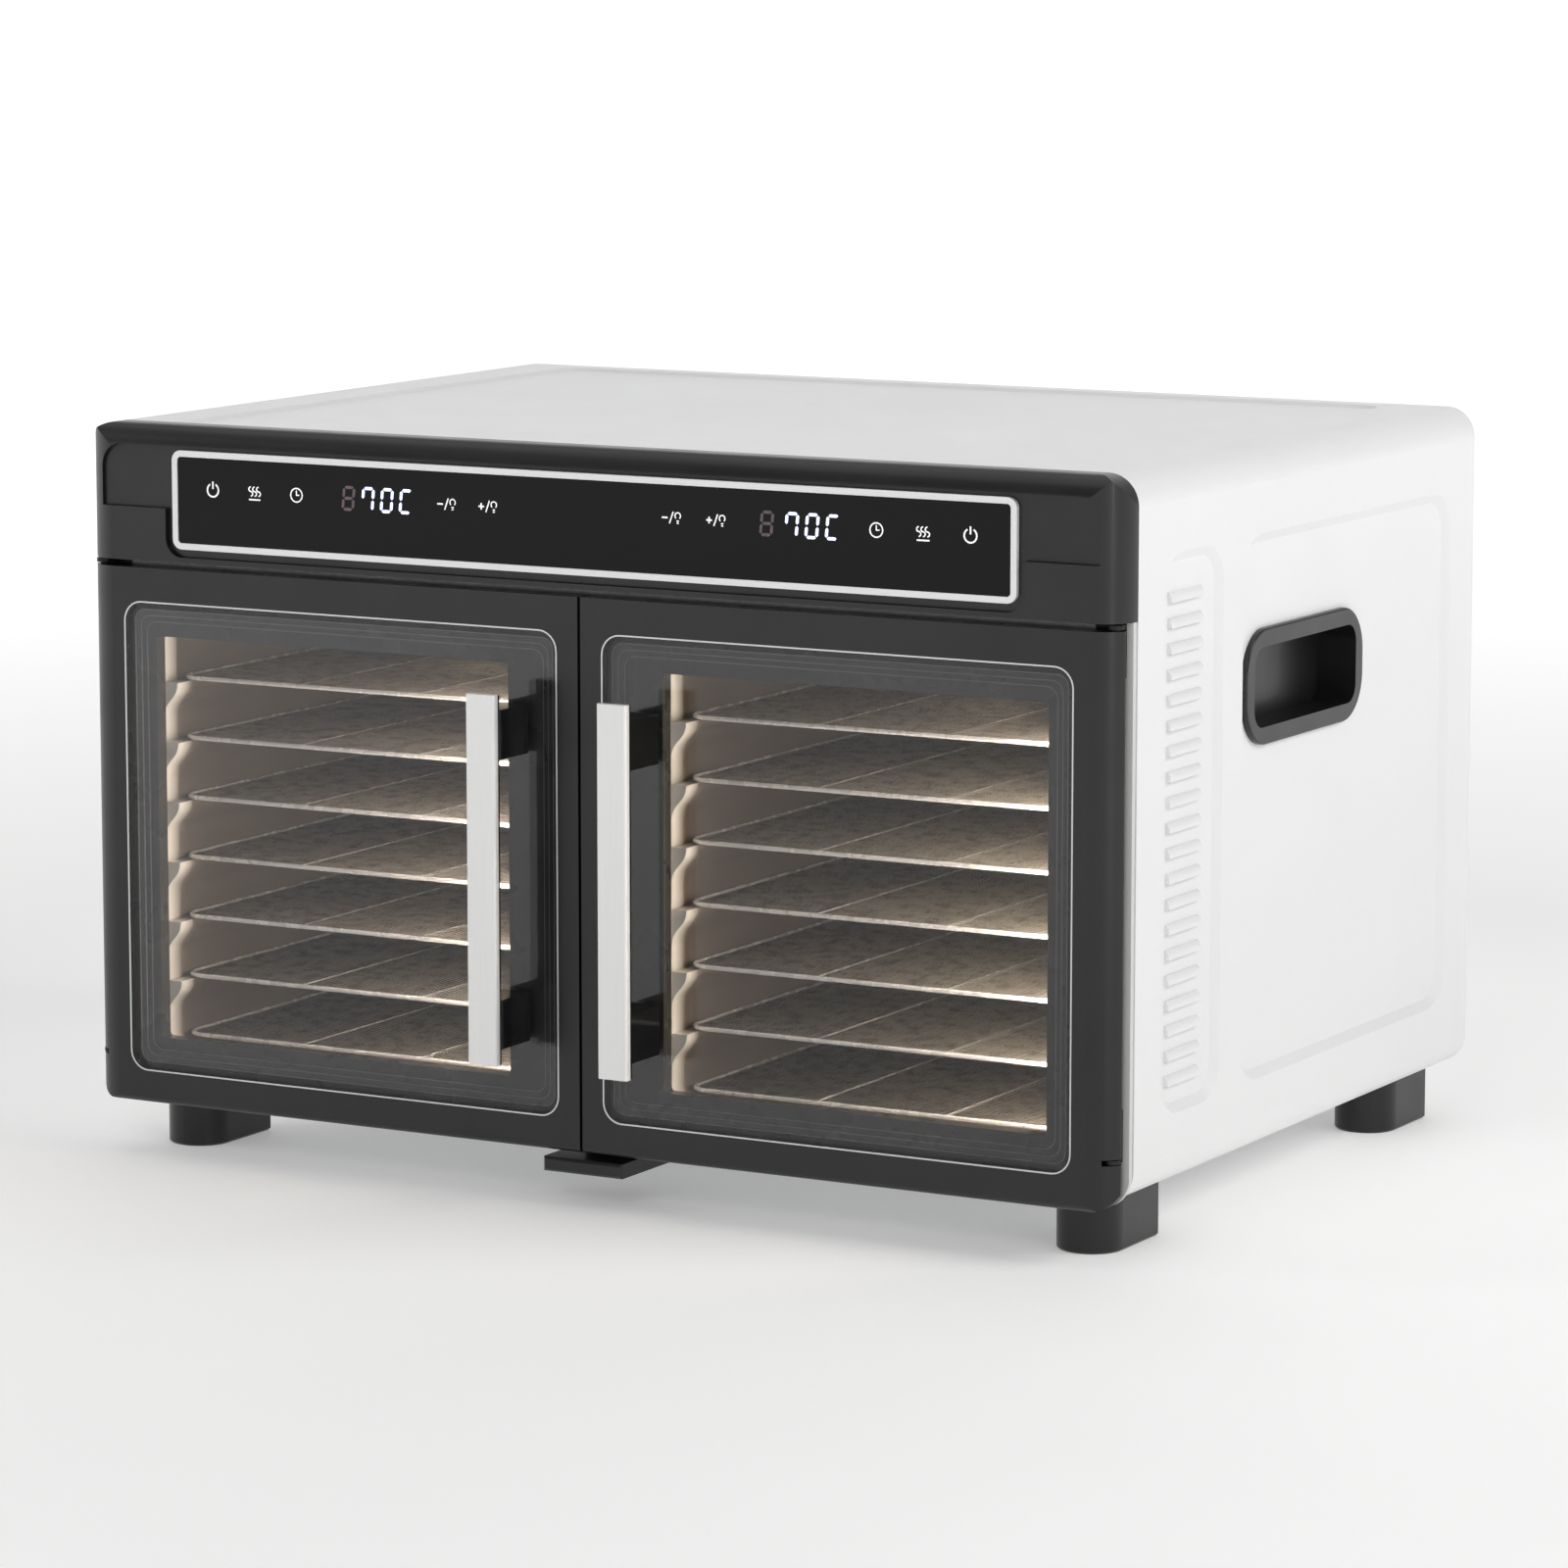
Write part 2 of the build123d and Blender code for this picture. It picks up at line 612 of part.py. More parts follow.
def door_frame():
    """Moulded door frame with a rolled rear corner about the hinge pins."""
    door = body_form(0, DOOR_T, 0, DOOR_H) & block(SEAM_GAP / 2, HALF, 0, DOOR_T, 0, DOOR_H)
    corner = block(HINGE_X, HALF + 1, HINGE_Y, DOOR_T + 1, -1, DOOR_H + 1)
    corner -= post(HINGE_X, HINGE_Y, -1, DOOR_H + 1, NOSE_R)
    bore = PIN_R + RUN
    slot_x = HINGE_X - NOSE_R - HINGE_SLOT
    slot_z = HINGE_Z + HINGE_T
    cuts = [
        corner,
        front_slab(window_outline(FIT), 0, GLASS_T),
        front_slab(window_outline(SURROUND_LAP + FIT / 2), GLASS_T, DOOR_T),
        block(slot_x, HALF + 1, HINGE_T, DOOR_T + 1, HINGE_Z - HINGE_SLOT, slot_z + HINGE_SLOT),
        post(HINGE_X, HINGE_Y, slot_z, slot_z + PIN_L + HINGE_SLOT, bore),
        post(HINGE_X, HINGE_Y, DOOR_H - PIN_L, DOOR_H + 1, bore),
    ]
    cuts += [bar_back(x, z, DOOR_T - MAGNET_T, DOOR_T, MAGNET_R) for x, z in magnet_places()]
    return door - cuts


def door_glass():
    """Smoked glass, flush with the front of the door."""
    return front_slab(window_outline(0), 0, GLASS_T)


def window_surround():
    """Moulded surround behind the glass, stepped back towards the opening."""
    y = GLASS_T
    surround = front_slab(window_outline(SURROUND_LAP), y, DOOR_T)
    for inset in TERRACES:
        surround -= front_slab(window_outline(-inset), y, y + TERRACE_STEP)
        y += TERRACE_STEP
    surround -= front_slab(opening_outline(), GLASS_T, DOOR_T)
    return surround - front_slab(seal_ring(FIT / 2), DOOR_T - SEAL_GROOVE, DOOR_T)


def door_seal():
    """Soft seal in the back of the surround, just clear of the closed front frame."""
    return front_slab(seal_ring(0), DOOR_T - SEAL_GROOVE, DOOR_T + SEAL_PROUD)


def door_magnets():
    """Two magnets that hold the door against the steel front frame."""
    return [bar_back(x, z, DOOR_T - MAGNET_T, DOOR_T, MAGNET_R) for x, z in magnet_places()]


def handle_bar():
    """Brushed bar with rounded long edges."""
    bar = block(BAR_IN, BAR_IN + BAR_W, -HANDLE_PROUD, -BRACKET_Y, BAR_BOTTOM, DOOR_H - BAR_TOP)
    front = bar.edges().filter_by(Axis.Z).group_by(Axis.Y)[0]
    return fillet(front, BAR_EDGE_R)


def handle_bracket():
    """Black backing strip with the two blocks that stand on the glass."""
    x0 = BAR_IN + BACKING_INSET
    x1 = BAR_IN + BAR_W - BACKING_INSET
    z0 = BAR_BOTTOM + BACKING_INSET
    z1 = DOOR_H - BAR_TOP - BACKING_INSET
    bracket = block(x0, x1, -BRACKET_Y, -BRACKET_Y + BACKING_T, z0, z1)
    low = BAR_BOTTOM + BRACKET_INSET
    high = DOOR_H - BAR_TOP - BRACKET_INSET - BRACKET_H
    for z in (low, high):
        bracket += block(x0, x1, -BRACKET_Y, 0, z, z + BRACKET_H)
    return bracket


# ---- hinges (right-hand pair) ----
def hinge_arm(z):
    """Arm from the pin back to the leaf, with a round end."""
    reach = block(HINGE_X - NOSE_R, HINGE_X + HINGE_EDGE, HINGE_Y, FRAME_Y + HINGE_T, z, z + HINGE_T)
    return reach + post(HINGE_X, HINGE_Y, z, z + HINGE_T, NOSE_R - HINGE_SLOT)


def hinge_leaf(z0, z1, grow):
    """Leaf let into the face of the front frame."""
    x1 = HINGE_X + HINGE_EDGE
    return block(x1 - HINGE_LEAF_W - grow, x1 + grow, FRAME_Y, FRAME_Y + HINGE_T, z0 - grow, z1)


def upper_hinge_z():
    """Underside of the upper arm, midway in the gap under the head."""
    return DOOR_H + (HEAD_GAP - HINGE_T) / 2


def hinge_plates():
    """Upper and lower plates of one door, each with its pin."""
    top = upper_hinge_z()
    upper = hinge_arm(top) + hinge_leaf(top + HINGE_T - HINGE_LEAF_H, top + HINGE_T, 0)
    upper += post(HINGE_X, HINGE_Y, top - PIN_L, top, PIN_R)
    lower = hinge_arm(HINGE_Z) + hinge_leaf(HINGE_Z, HINGE_Z + HINGE_LEAF_H, 0)
    lower += post(HINGE_X, HINGE_Y, HINGE_Z + HINGE_T, HINGE_Z + HINGE_T + PIN_L, PIN_R)
    return [upper, lower]


# ---- front frame ----
def front_frame():
    """Steel frame behind the doors, with a mouth for each liner."""
    rear = FRAME_Y + FRAME_RIM + FRAME_PLUG
    frame = body_form(FRAME_Y, FRAME_Y + FRAME_RIM, 0, HEAD_Z)
    frame += inside_cabinet(FRAME_Y + FRAME_RIM, rear, 0, HEAD_Z)
    out = LINER_T + FIT
    mouth = rounded(LINER_X0 - out, LINER_X1 + out, LINER_Z0 - out, LINER_Z1 + out, LINER_R + out)
    frame -= both(front_slab(mouth, FRAME_Y, rear))
    top = upper_hinge_z() + HINGE_T
    frame -= both(hinge_leaf(top - HINGE_LEAF_H, HEAD_Z, FIT))
    return frame - both(hinge_leaf(HINGE_Z, HINGE_Z + HINGE_LEAF_H + FIT, FIT))


# ---- liners and trays (right-hand zone) ----
def tray_z(number):
    """Height of the middle of a tray, counted from the top."""
    return LINER_Z0 + TRAY_BOTTOM + (TRAY_COUNT - 1 - number) * TRAY_PITCH


def ledge_outline(top, low):
    """A ledge on the outer wall: flat on top, then an S-curve back to the wall."""
    x = LINER_X1
    curve = Bezier((x - LEDGE_W, top), (x - LEDGE_W, (top + low) / 2), (x, (top + low) / 2), (x, low))
    lines = Curve() + [
        Line((x, low), (x + LINER_T / 2, low)),
        Line((x + LINER_T / 2, low), (x + LINER_T / 2, top)),
        Line((x + LINER_T / 2, top), (x - LEDGE_W, top)),
        curve,
    ]
    return make_face(lines)


def liner():
    """Five-sided box with a pair of ledges for each tray and holes in its back and top."""
    out = LINER_T
    shell = front_slab(
        rounded(LINER_X0 - out, LINER_X1 + out, LINER_Z0 - out, LINER_Z1 + out, LINER_R + out),
        LINER_FRONT, LINER_END)
    shell -= front_slab(rounded(LINER_X0, LINER_X1, LINER_Z0, LINER_Z1, LINER_R),
                        LINER_FRONT, LINER_END - LINER_T)
    half = LINER_T / 2
    bounds = front_slab(
        rounded(LINER_X0 - half, LINER_X1 + half, LINER_Z0 - half, LINER_Z1 + half, LINER_R + half),
        LINER_FRONT, GUARD_Y)
    for number in range(TRAY_COUNT):
        top = tray_z(number) - RAIL_R - LEDGE_GAP
        ledge = bounds & front_slab(ledge_outline(top, top - LEDGE_H), LINER_FRONT, GUARD_Y)
        shell += [ledge, mirror(ledge, about=Plane.YZ.offset(ZONE_X))]
    back = LINER_END - LINER_T
    holes = [bar_back(ZONE_X, ZONE_Z, back, LINER_END, SHAFT_HOLE_R)]
    holes.append(bar_back(ZONE_X, LINER_Z1 - SENSOR_Z, back, LINER_END, SENSOR_R))
    holes += [bar_back(x, z, back, LINER_END, HEATER_TUBE_R) for x, z in heater_tails()]
    holes.append(post(ZONE_X, LAMP_Y, LINER_Z1, LINER_Z1 + LINER_T, LAMP_BASE_R))
    return shell - holes


def tray(number):
    """Wire rim with a mesh floor."""
    x0 = LINER_X0 + TRAY_SIDE + RAIL_R
    x1 = LINER_X1 - TRAY_SIDE - RAIL_R
    y0 = TRAY_FRONT + RAIL_R
    y1 = GUARD_Y - TRAY_BACK - RAIL_R
    z = tray_z(number)
    path = Plane.XY.offset(z) * rounded(x0, x1, y0, y1, TRAY_R)
    start = path.edges().filter_by(GeomType.LINE).sort_by(Axis.Y)[0]
    ring = Plane(origin=start @ 0.5, z_dir=start % 0.5) * Circle(RAIL_R)
    rim = sweep(ring, path=path.wires()[0])
    step_x = (x1 - x0) / MESH_COLUMNS
    step_y = (y1 - y0) / MESH_ROWS
    hole = Rectangle(step_x - MESH_STRAND, step_y - MESH_STRAND)
    centre = Pos((x0 + x1) / 2, (y0 + y1) / 2)
    mesh = rounded(x0, x1, y0, y1, TRAY_R)
    mesh -= [centre * spot for spot in GridLocations(step_x, step_y, MESH_COLUMNS, MESH_ROWS) * hole]
    return rim + extrude(Plane.XY.offset(z - MESH_T / 2) * mesh, amount=MESH_T)


# ---- fan, heater and motor (right-hand zone) ----
def fan_guard():
    """Perforated plate in front of the fan, with slots for the heated air on both sides."""
    outline = rounded(LINER_X0, LINER_X1, LINER_Z0, LINER_Z1, LINER_R)
    holes = Sketch() + [Pos(ZONE_X, ZONE_Z) * Circle(GUARD_HOLE_R)]
    for ring in GUARD_RINGS:
        count = round(ring / GUARD_RINGS[0]) * GUARD_RING_STEP
        holes += [Pos(ZONE_X, ZONE_Z) * spot
                  for spot in PolarLocations(ring, count) * Circle(GUARD_HOLE_R)]
    slot = SlotOverall(GUARD_SLOT_W, GUARD_SLOT_H)
    pitch = (LINER_Z1 - LINER_Z0 - 2 * LEDGE_H) / GUARD_SLOTS
    for x in (LINER_X0 + GUARD_SLOT_IN, LINER_X1 - GUARD_SLOT_IN):
        holes += [Pos(x, ZONE_Z) * spot for spot in GridLocations(1, pitch, 1, GUARD_SLOTS) * slot]
    holes += Pos(ZONE_X, LINER_Z1 - SENSOR_Z) * Circle(SENSOR_R)
    return front_slab(outline - holes, GUARD_Y, GUARD_Y + GUARD_T)


def fan():
    """Centrifugal impeller: a back plate, a hub and upright blades."""
    y0 = GUARD_Y + GUARD_T + FAN_GAP
    y1 = y0 + FAN_DEPTH
    hub = bar_back(0, 0, y0, y1, FAN_HUB_R)
    plate = bar_back(0, 0, y1 - FAN_PLATE_T, y1, FAN_R)
    wheel = hub + plate
    for number in range(FAN_BLADES):
        turn = Rot(0, 360 * number / FAN_BLADES, 0)
        wheel += turn * block(FAN_HUB_R - 1, FAN_R, y0, y1, -FAN_BLADE_T / 2, FAN_BLADE_T / 2)
    wheel -= bar_back(0, 0, y0, y1, SHAFT_R)
    return Pos(ZONE_X, 0, ZONE_Z) * wheel


def shaft_ends():
    """The shaft runs from the front of the hub into the motor."""
    return GUARD_Y + GUARD_T + FAN_GAP, LINER_END + MOTOR_FLANGE_T + MOTOR_L - MOTOR_END


def fan_shaft():
    """Steel shaft that turns with the impeller."""
    return bar_back(ZONE_X, ZONE_Z, *shaft_ends(), SHAFT_R)


def heater_turn():
    """Angle at the heater's centre from straight down to where its ring begins."""
    return math.asin((HEATER_TAIL + HEATER_BEND) / HEATER_R)


def heater_tails():
    """X and Z of the heater's two tails, low on the ring."""
    turn = heater_turn()
    x = HEATER_R * math.sin(turn) - HEATER_BEND * math.cos(turn)
    z = ZONE_Z - HEATER_R * math.cos(turn) - HEATER_BEND * math.sin(turn)
    return [(ZONE_X - x, z), (ZONE_X + x, z)]


def heater():
    """Tube heater bent into a ring round the impeller, with two tails through the back wall."""
    y = GUARD_Y + GUARD_T + FAN_GAP + FAN_DEPTH / 2
    reach = LINER_END + MOTOR_L / 2
    turn = heater_turn()
    side = HEATER_R * math.sin(turn)
    low = ZONE_Z - HEATER_R * math.cos(turn)
    (x0, z0), (x1, z1) = heater_tails()
    ring = ThreePointArc(
        (ZONE_X - side, y, low), (ZONE_X, y, ZONE_Z + HEATER_R), (ZONE_X + side, y, low))
    bend_in = TangentArc((x0, y + HEATER_BEND, z0), ring @ 0, tangent=(0, -1, 0))
    bend_out = TangentArc((x1, y + HEATER_BEND, z1), ring @ 1, tangent=(0, -1, 0))
    tails = [Line((x, reach, z), (x, y + HEATER_BEND, z)) for x, z in heater_tails()]
    path = Wire([tails[0], bend_in, ring, bend_out, tails[1]])
    section = Plane(origin=(x0, reach, z0), z_dir=(0, -1, 0)) * Circle(HEATER_TUBE_R)
    return sweep(section, path=path)


def motor():
    """Fan motor on a square flange behind the liner, bored for the shaft."""
    y0 = LINER_END
    y1 = y0 + MOTOR_FLANGE_T
    half = MOTOR_FLANGE / 2
    body = block(ZONE_X - half, ZONE_X + half, y0, y1, ZONE_Z - half, ZONE_Z + half)
    body += bar_back(ZONE_X, ZONE_Z, y1, y1 + MOTOR_L, MOTOR_R)
    bore_end = shaft_ends()[1] + FIT
    return body - bar_back(ZONE_X, ZONE_Z, y0, bore_end, SHAFT_R + RUN)


def temperature_sensors():
    """A probe through the guard of each zone."""
    z = LINER_Z1 - SENSOR_Z
    return both(bar_back(ZONE_X, z, GUARD_Y - SENSOR_REACH, LINER_END + SENSOR_REACH, SENSOR_R))


def chamber_lamps():
    """A lamp under the roof of each liner, with its holder above."""
    lens = post(ZONE_X, LAMP_Y, LINER_Z1 - LAMP_DROP, LINER_Z1, LAMP_R)
    rim = lens.edges().filter_by(GeomType.CIRCLE).sort_by(Axis.Z)[0]
    lamp = fillet(rim, LAMP_DROP / 2) + post(ZONE_X, LAMP_Y, LINER_Z1, LINER_Z1 + LAMP_BASE_H, LAMP_BASE_R)
    return both(lamp)


def power_board():
    """Supply board above the liners: transformer, relays and capacitors on four posts."""
    x1 = POWER_BOARD_W / 2
    y0, y1 = POWER_BOARD_Y, POWER_BOARD_Y + POWER_BOARD_D
    z0 = LINER_Z1 + LINER_T
    z1 = z0 + POWER_BOARD_LIFT
    top = z1 + BOARD_T
    board = block(-x1, x1, y0, y1, z1, top)
    inset = 2 * POST_R
    for x in (-x1 + inset, x1 - inset):
        board += [post(x, y, z0, z1, POST_R) for y in (y0 + inset, y1 - inset)]
    board += block(-x1 + 15, -x1 + 55, y0 + 20, y0 + 60, top, top + 34)
    board += [block(x, x + 18, y0 + 14, y0 + 34, top, top + 16) for x in (5, 28)]
    board += [post(x, y0 + 56, top, top + 22, 7) for x in (4, 24, 44)]
    return board


def power_inlet():
    """Three-pin mains inlet in the rear panel."""
    w, h = INLET_SOCKET_W / 2, INLET_SOCKET_H / 2
    out = INLET_WALL
    y1 = REAR_Y + INLET_T
    y0 = REAR_Y - INLET_DEPTH
    inlet = block(-INLET_W / 2, INLET_W / 2, REAR_Y, y1, -INLET_H / 2, INLET_H / 2)
    inlet += block(-w - out, w + out, y0, REAR_Y, -h - out, h + out)
    inlet -= block(-w, w, y0 + out, y1, -h, h)
    for x, z in ((-7, -2), (0, 2), (7, -2)):
        inlet += block(x - 1, x + 1, y0, y1 - 2 * INLET_T, z - 2, z + 2)
    return Pos(INLET_X, 0, INLET_Z) * inlet


# ---- side grip (right-hand one) ----
def grip():
    """Moulded grip: a lip on the side panel round a pocket that ramps in from the front."""
    y0, y1 = GRIP_FRONT, GRIP_FRONT + GRIP_LEN
    z1 = BODY_HEIGHT - GRIP_TOP
    z0 = z1 - GRIP_H
    floor_x = HALF - EMBOSS
    lip = extrude(side_outline(rounded(y0, y1, z0, z1, GRIP_R), floor_x), amount=GRIP_LIP_T)
    edge = lip.faces().sort_by(Axis.X)[-1].outer_wire().edges()
    lip = fillet(edge, GRIP_WALL / 2)
    a, b, c, d = y0 + GRIP_LIP, y1 - GRIP_LIP, z0 + GRIP_LIP, z1 - GRIP_LIP
    cup = GRIP_WALL
    shell = extrude(
        side_outline(rounded(a - cup, b + cup, c - cup, d + cup, GRIP_POCKET_R + cup), HALF - GRIP_DEPTH),
        amount=GRIP_DEPTH - EMBOSS)
    pocket = extrude(
        side_outline(rounded(a, b, c, d, GRIP_POCKET_R), HALF - GRIP_DEPTH + cup),
        amount=GRIP_DEPTH + EMBOSS)
    return lip + shell - pocket + (grip_ramp(a, b, c, d) & pocket)


def grip_ramp(a, b, c, d):
    """The curved floor that leads fingers from the front of the pocket to its deep rear."""
    x_floor = HALF - GRIP_DEPTH
    x_top = HALF - EMBOSS
    turn = a + (b - a) / 2
    curve = Bezier((x_top, a), (x_top - 1, turn), (x_floor, turn), (x_floor, turn + GRIP_LIP))
    lines = Curve() + [
        curve,
        Line((x_floor, turn + GRIP_LIP), (x_floor, a)),
        Line((x_floor, a), (x_top, a)),
    ]
    return extrude(Plane.XY.offset(c) * make_face(lines), amount=d - c)


# ---- feet, catch plate and screws ----
def foot_plan(y0, y1):
    """Round at the front and square at the back."""
    x1 = HALF - FOOT_SIDE
    plan = rounded(x1 - FOOT_W, x1, y0, y1 + FOOT_W, FOOT_W / 2 - FIT)
    return plan & Pos(x1 - FOOT_W / 2, (y0 + y1) / 2) * Rectangle(FOOT_W, y1 - y0)


def foot_spans():
    """Front and rear ends of the feet on one side."""
    rear = BODY_DEPTH - FOOT_BACK
    return [(FOOT_FRONT, FOOT_FRONT + FOOT_FRONT_L), (rear - FOOT_BACK_L, rear)]


def feet():
    """Four moulded feet, slightly smaller at the floor."""
    made = []
    for y0, y1 in foot_spans():
        height = FOOT_HEIGHT + WRAP_BOTTOM
        foot = extrude(Plane.XY.offset(-FOOT_HEIGHT) * foot_plan(y0, y1), amount=height)
        sole = foot.faces().sort_by(Axis.Z)[0].edges()
        foot = chamfer(sole, FOOT_TAPER)
        x, y = foot_screw_place(y0, y1)
        made += both(foot - post(x, y, WRAP_BOTTOM - SCREW_L + 2 * STEEL, WRAP_BOTTOM, SCREW_R))
    return made


def foot_screw_place(y0, y1):
    """X and Y of a foot's screw."""
    return HALF - FOOT_SIDE - FOOT_W / 2, (y0 + y1) / 2


def foot_screw_places():
    """X and Y of the screws that hold the feet."""
    places = [foot_screw_place(y0, y1) for y0, y1 in foot_spans()]
    return places + [(-x, y) for x, y in places]


def catch_screw_places():
    """X and Y of the screws that hold the catch plate."""
    y = CATCH_FRONT + CATCH_L - RISER_L / 2
    return [(-RISER_W / 4, y), (RISER_W / 4, y)]


def catch_plate():
    """Stop plate under the meeting doors, carried on a riser from the base pan."""
    z1 = -CATCH_GAP
    y1 = CATCH_FRONT + CATCH_L
    plate = block(-CATCH_W / 2, CATCH_W / 2, CATCH_FRONT, y1, z1 - CATCH_T, z1)
    plate = chamfer(plate.faces().sort_by(Axis.Y)[0].edges(), CATCH_EDGE)
    plate += block(-RISER_W / 2, RISER_W / 2, y1 - RISER_L, y1, z1, PAN_Z)
    holes = [post(x, y, PAN_Z + STEEL - SCREW_L, PAN_Z, SCREW_R) for x, y in catch_screw_places()]
    return plate - holes


def base_screws():
    """Screws from inside the base pan into the feet and the catch plate."""
    z = PAN_Z + STEEL
    return [post(x, y, z - SCREW_L, z, SCREW_R) + post(x, y, z, z + SCREW_HEAD_H, SCREW_HEAD_R)
            for x, y in foot_screw_places() + catch_screw_places()]


def rear_screws():
    """Screws round the rear panel."""
    made = []
    for x, z in rear_screw_places():
        head = bar_back(x, z, REAR_Y, REAR_Y + SCREW_HEAD_H, SCREW_HEAD_R)
        made.append(head + bar_back(x, z, REAR_Y - SCREW_L, REAR_Y, SCREW_R))
    return made


# ---- write every node ----
save("cabinet_wrap", cabinet_wrap())
save("base_pan", base_pan())
save("rear_panel", rear_panel())
save("front_frame", front_frame())
save("control_head", control_head())
save("panel_trim", panel_trim())
save("control_glass", control_glass())
save("control_board", control_board())
save("display_modules", display_modules())
save_pair("liner", liner())
save_pair("fan_guard", fan_guard())
save_pair("heater", heater())
save_pair("motor", motor())
save_pair("fan", fan())
save_pair("fan_shaft", fan_shaft())
save("temperature_sensors", temperature_sensors())
save("chamber_lamps", chamber_lamps())
save("power_board", power_board())
save("power_inlet", power_inlet())
save_pair("grip", grip())
save("feet", feet())
save("catch_plate", catch_plate())
save("base_screws", base_screws())
save("rear_screws", rear_screws())
save("hinge_plates", [piece for plate in hinge_plates() for piece in both(plate)])
save_pair("door_frame", door_frame())
save_pair("door_glass", door_glass())
save_pair("window_surround", window_surround())
save_pair("door_seal", door_seal())
for side, mirrored in (("right", False), ("left", True)):
    magnets = door_magnets()
    save(f"{side}_door_magnets", [mirror(m, about=Plane.YZ) for m in magnets] if mirrored else magnets)
save_pair("handle_bar", handle_bar())
save_pair("handle_bracket", handle_bracket())
for row in range(TRAY_COUNT):
    save_pair(f"tray_{row + 1}", tray(row))
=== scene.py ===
import bmesh
import bpy
import math
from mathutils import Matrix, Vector


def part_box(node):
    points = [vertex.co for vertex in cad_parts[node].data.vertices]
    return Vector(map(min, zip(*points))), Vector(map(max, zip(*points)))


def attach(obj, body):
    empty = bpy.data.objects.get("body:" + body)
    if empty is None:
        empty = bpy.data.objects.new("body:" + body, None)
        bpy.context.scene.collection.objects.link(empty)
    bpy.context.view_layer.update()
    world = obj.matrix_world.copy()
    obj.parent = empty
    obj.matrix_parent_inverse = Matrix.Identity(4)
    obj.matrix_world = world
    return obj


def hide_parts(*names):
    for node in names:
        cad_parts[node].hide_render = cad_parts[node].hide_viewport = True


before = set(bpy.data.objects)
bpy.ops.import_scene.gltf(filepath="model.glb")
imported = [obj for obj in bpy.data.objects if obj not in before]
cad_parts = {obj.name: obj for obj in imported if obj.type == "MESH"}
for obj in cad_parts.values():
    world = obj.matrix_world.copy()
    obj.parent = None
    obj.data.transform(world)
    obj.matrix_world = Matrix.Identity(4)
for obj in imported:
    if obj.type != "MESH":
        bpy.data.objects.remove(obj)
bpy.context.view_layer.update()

MM = 0.001
SIDES = ("left", "right")
TRAYS = 7


# ---- finishes ----
class Value:
    """A shader socket that takes part in sums."""

    def __init__(self, finish, socket):
        self.finish = finish
        self.socket = socket

    def sum(self, operation, *terms):
        return self.finish.node("Math", {"operation": operation}, dict(enumerate(terms)))

    def __add__(self, other):
        return self.sum("ADD", self, other)

    def __rsub__(self, other):
        return self.sum("SUBTRACT", other, self)

    def __mul__(self, other):
        return self.sum("MULTIPLY", self, other)

    __radd__ = __add__
    __rmul__ = __mul__


class Finish:
    """A material, built up node by node."""

    def __init__(self, name, world=None):
        self.material = world or bpy.data.materials.new(name)
        self.material.use_nodes = True
        self.tree = self.material.node_tree
        self.tree.nodes.clear()

    def node(self, kind, settings=None, sockets=None, output=0):
        """A node of a type, with its settings, its sockets' values or links, and the output to use."""
        made = self.tree.nodes.new("ShaderNode" + kind)
        for key, value in (settings or {}).items():
            setattr(made, key, value)
        for key, value in (sockets or {}).items():
            if isinstance(value, Value):
                self.tree.links.new(value.socket, made.inputs[key])
            else:
                made.inputs[key].default_value = value
        return Value(self, made.outputs[output])

    def place(self, stretch=(1, 1, 1)):
        """A point of the piece, with each axis scaled."""
        point = self.node("TexCoord", output=3)
        return self.node("Mapping", sockets={"Vector": point, "Scale": stretch})

    def noise(self, scale, detail=3.0, roughness=0.55, stretch=(1, 1, 1)):
        """Soft random variation between 0 and 1."""
        return self.node("TexNoise", sockets={
            "Vector": self.place(stretch), "Scale": scale, "Detail": detail, "Roughness": roughness})

    def speckle(self, scale):
        """Small cells, each rising from its middle."""
        return self.node("TexVoronoi", sockets={"Vector": self.place(), "Scale": scale})

    def between(self, value, low, high):
        """A value stretched so that low gives 0 and high gives 1."""
        return self.node("MapRange", {"clamp": True}, {0: value, 1: low, 2: high})

    def blend(self, factor, a, b):
        """One colour turning into another."""
        mix = {0: factor, 6: colour(a), 7: colour(b)}
        return self.node("Mix", {"data_type": "RGBA"}, mix, output=2)

    def bump(self, height, depth):
        """A normal from a height between 0 and 1, and its depth in metres."""
        return self.node("Bump", sockets={"Height": height, "Distance": depth, "Strength": 1.0})

    def surface(self, **sockets):
        """The main shader. An underscore stands for a space in a socket's name."""
        named = {key.replace("_", " "): value for key, value in sockets.items()}
        return self.node("BsdfPrincipled", sockets=named)

    def show(self, shader):
        """Ends the material with this shader."""
        kind = "OutputWorld" if isinstance(self.material, bpy.types.World) else "OutputMaterial"
        end = self.tree.nodes.new("ShaderNode" + kind)
        self.tree.links.new(shader.socket, end.inputs[0])
        return self.material


def colour(value):
    """A colour with its fourth number, or a link as it is."""
    if isinstance(value, Value):
        return value
    return (*value, 1.0)


def powder_coat(name, light, dark, rough=0.38):
    """Fine powder coat: an orange-peel surface with faint cloudy tone."""
    f = Finish(name)
    tone = f.between(f.noise(5, 4), 0.3, 0.7)
    peel = f.noise(850, 2)
    marks = f.between(f.noise(60, 5), 0.35, 0.75)
    return f.show(f.surface(
        Base_Color=f.blend(tone, dark, light), Roughness=rough - 0.05 + 0.1 * marks,
        Normal=f.bump(peel, 0.00006), Specular_IOR_Level=0.45))


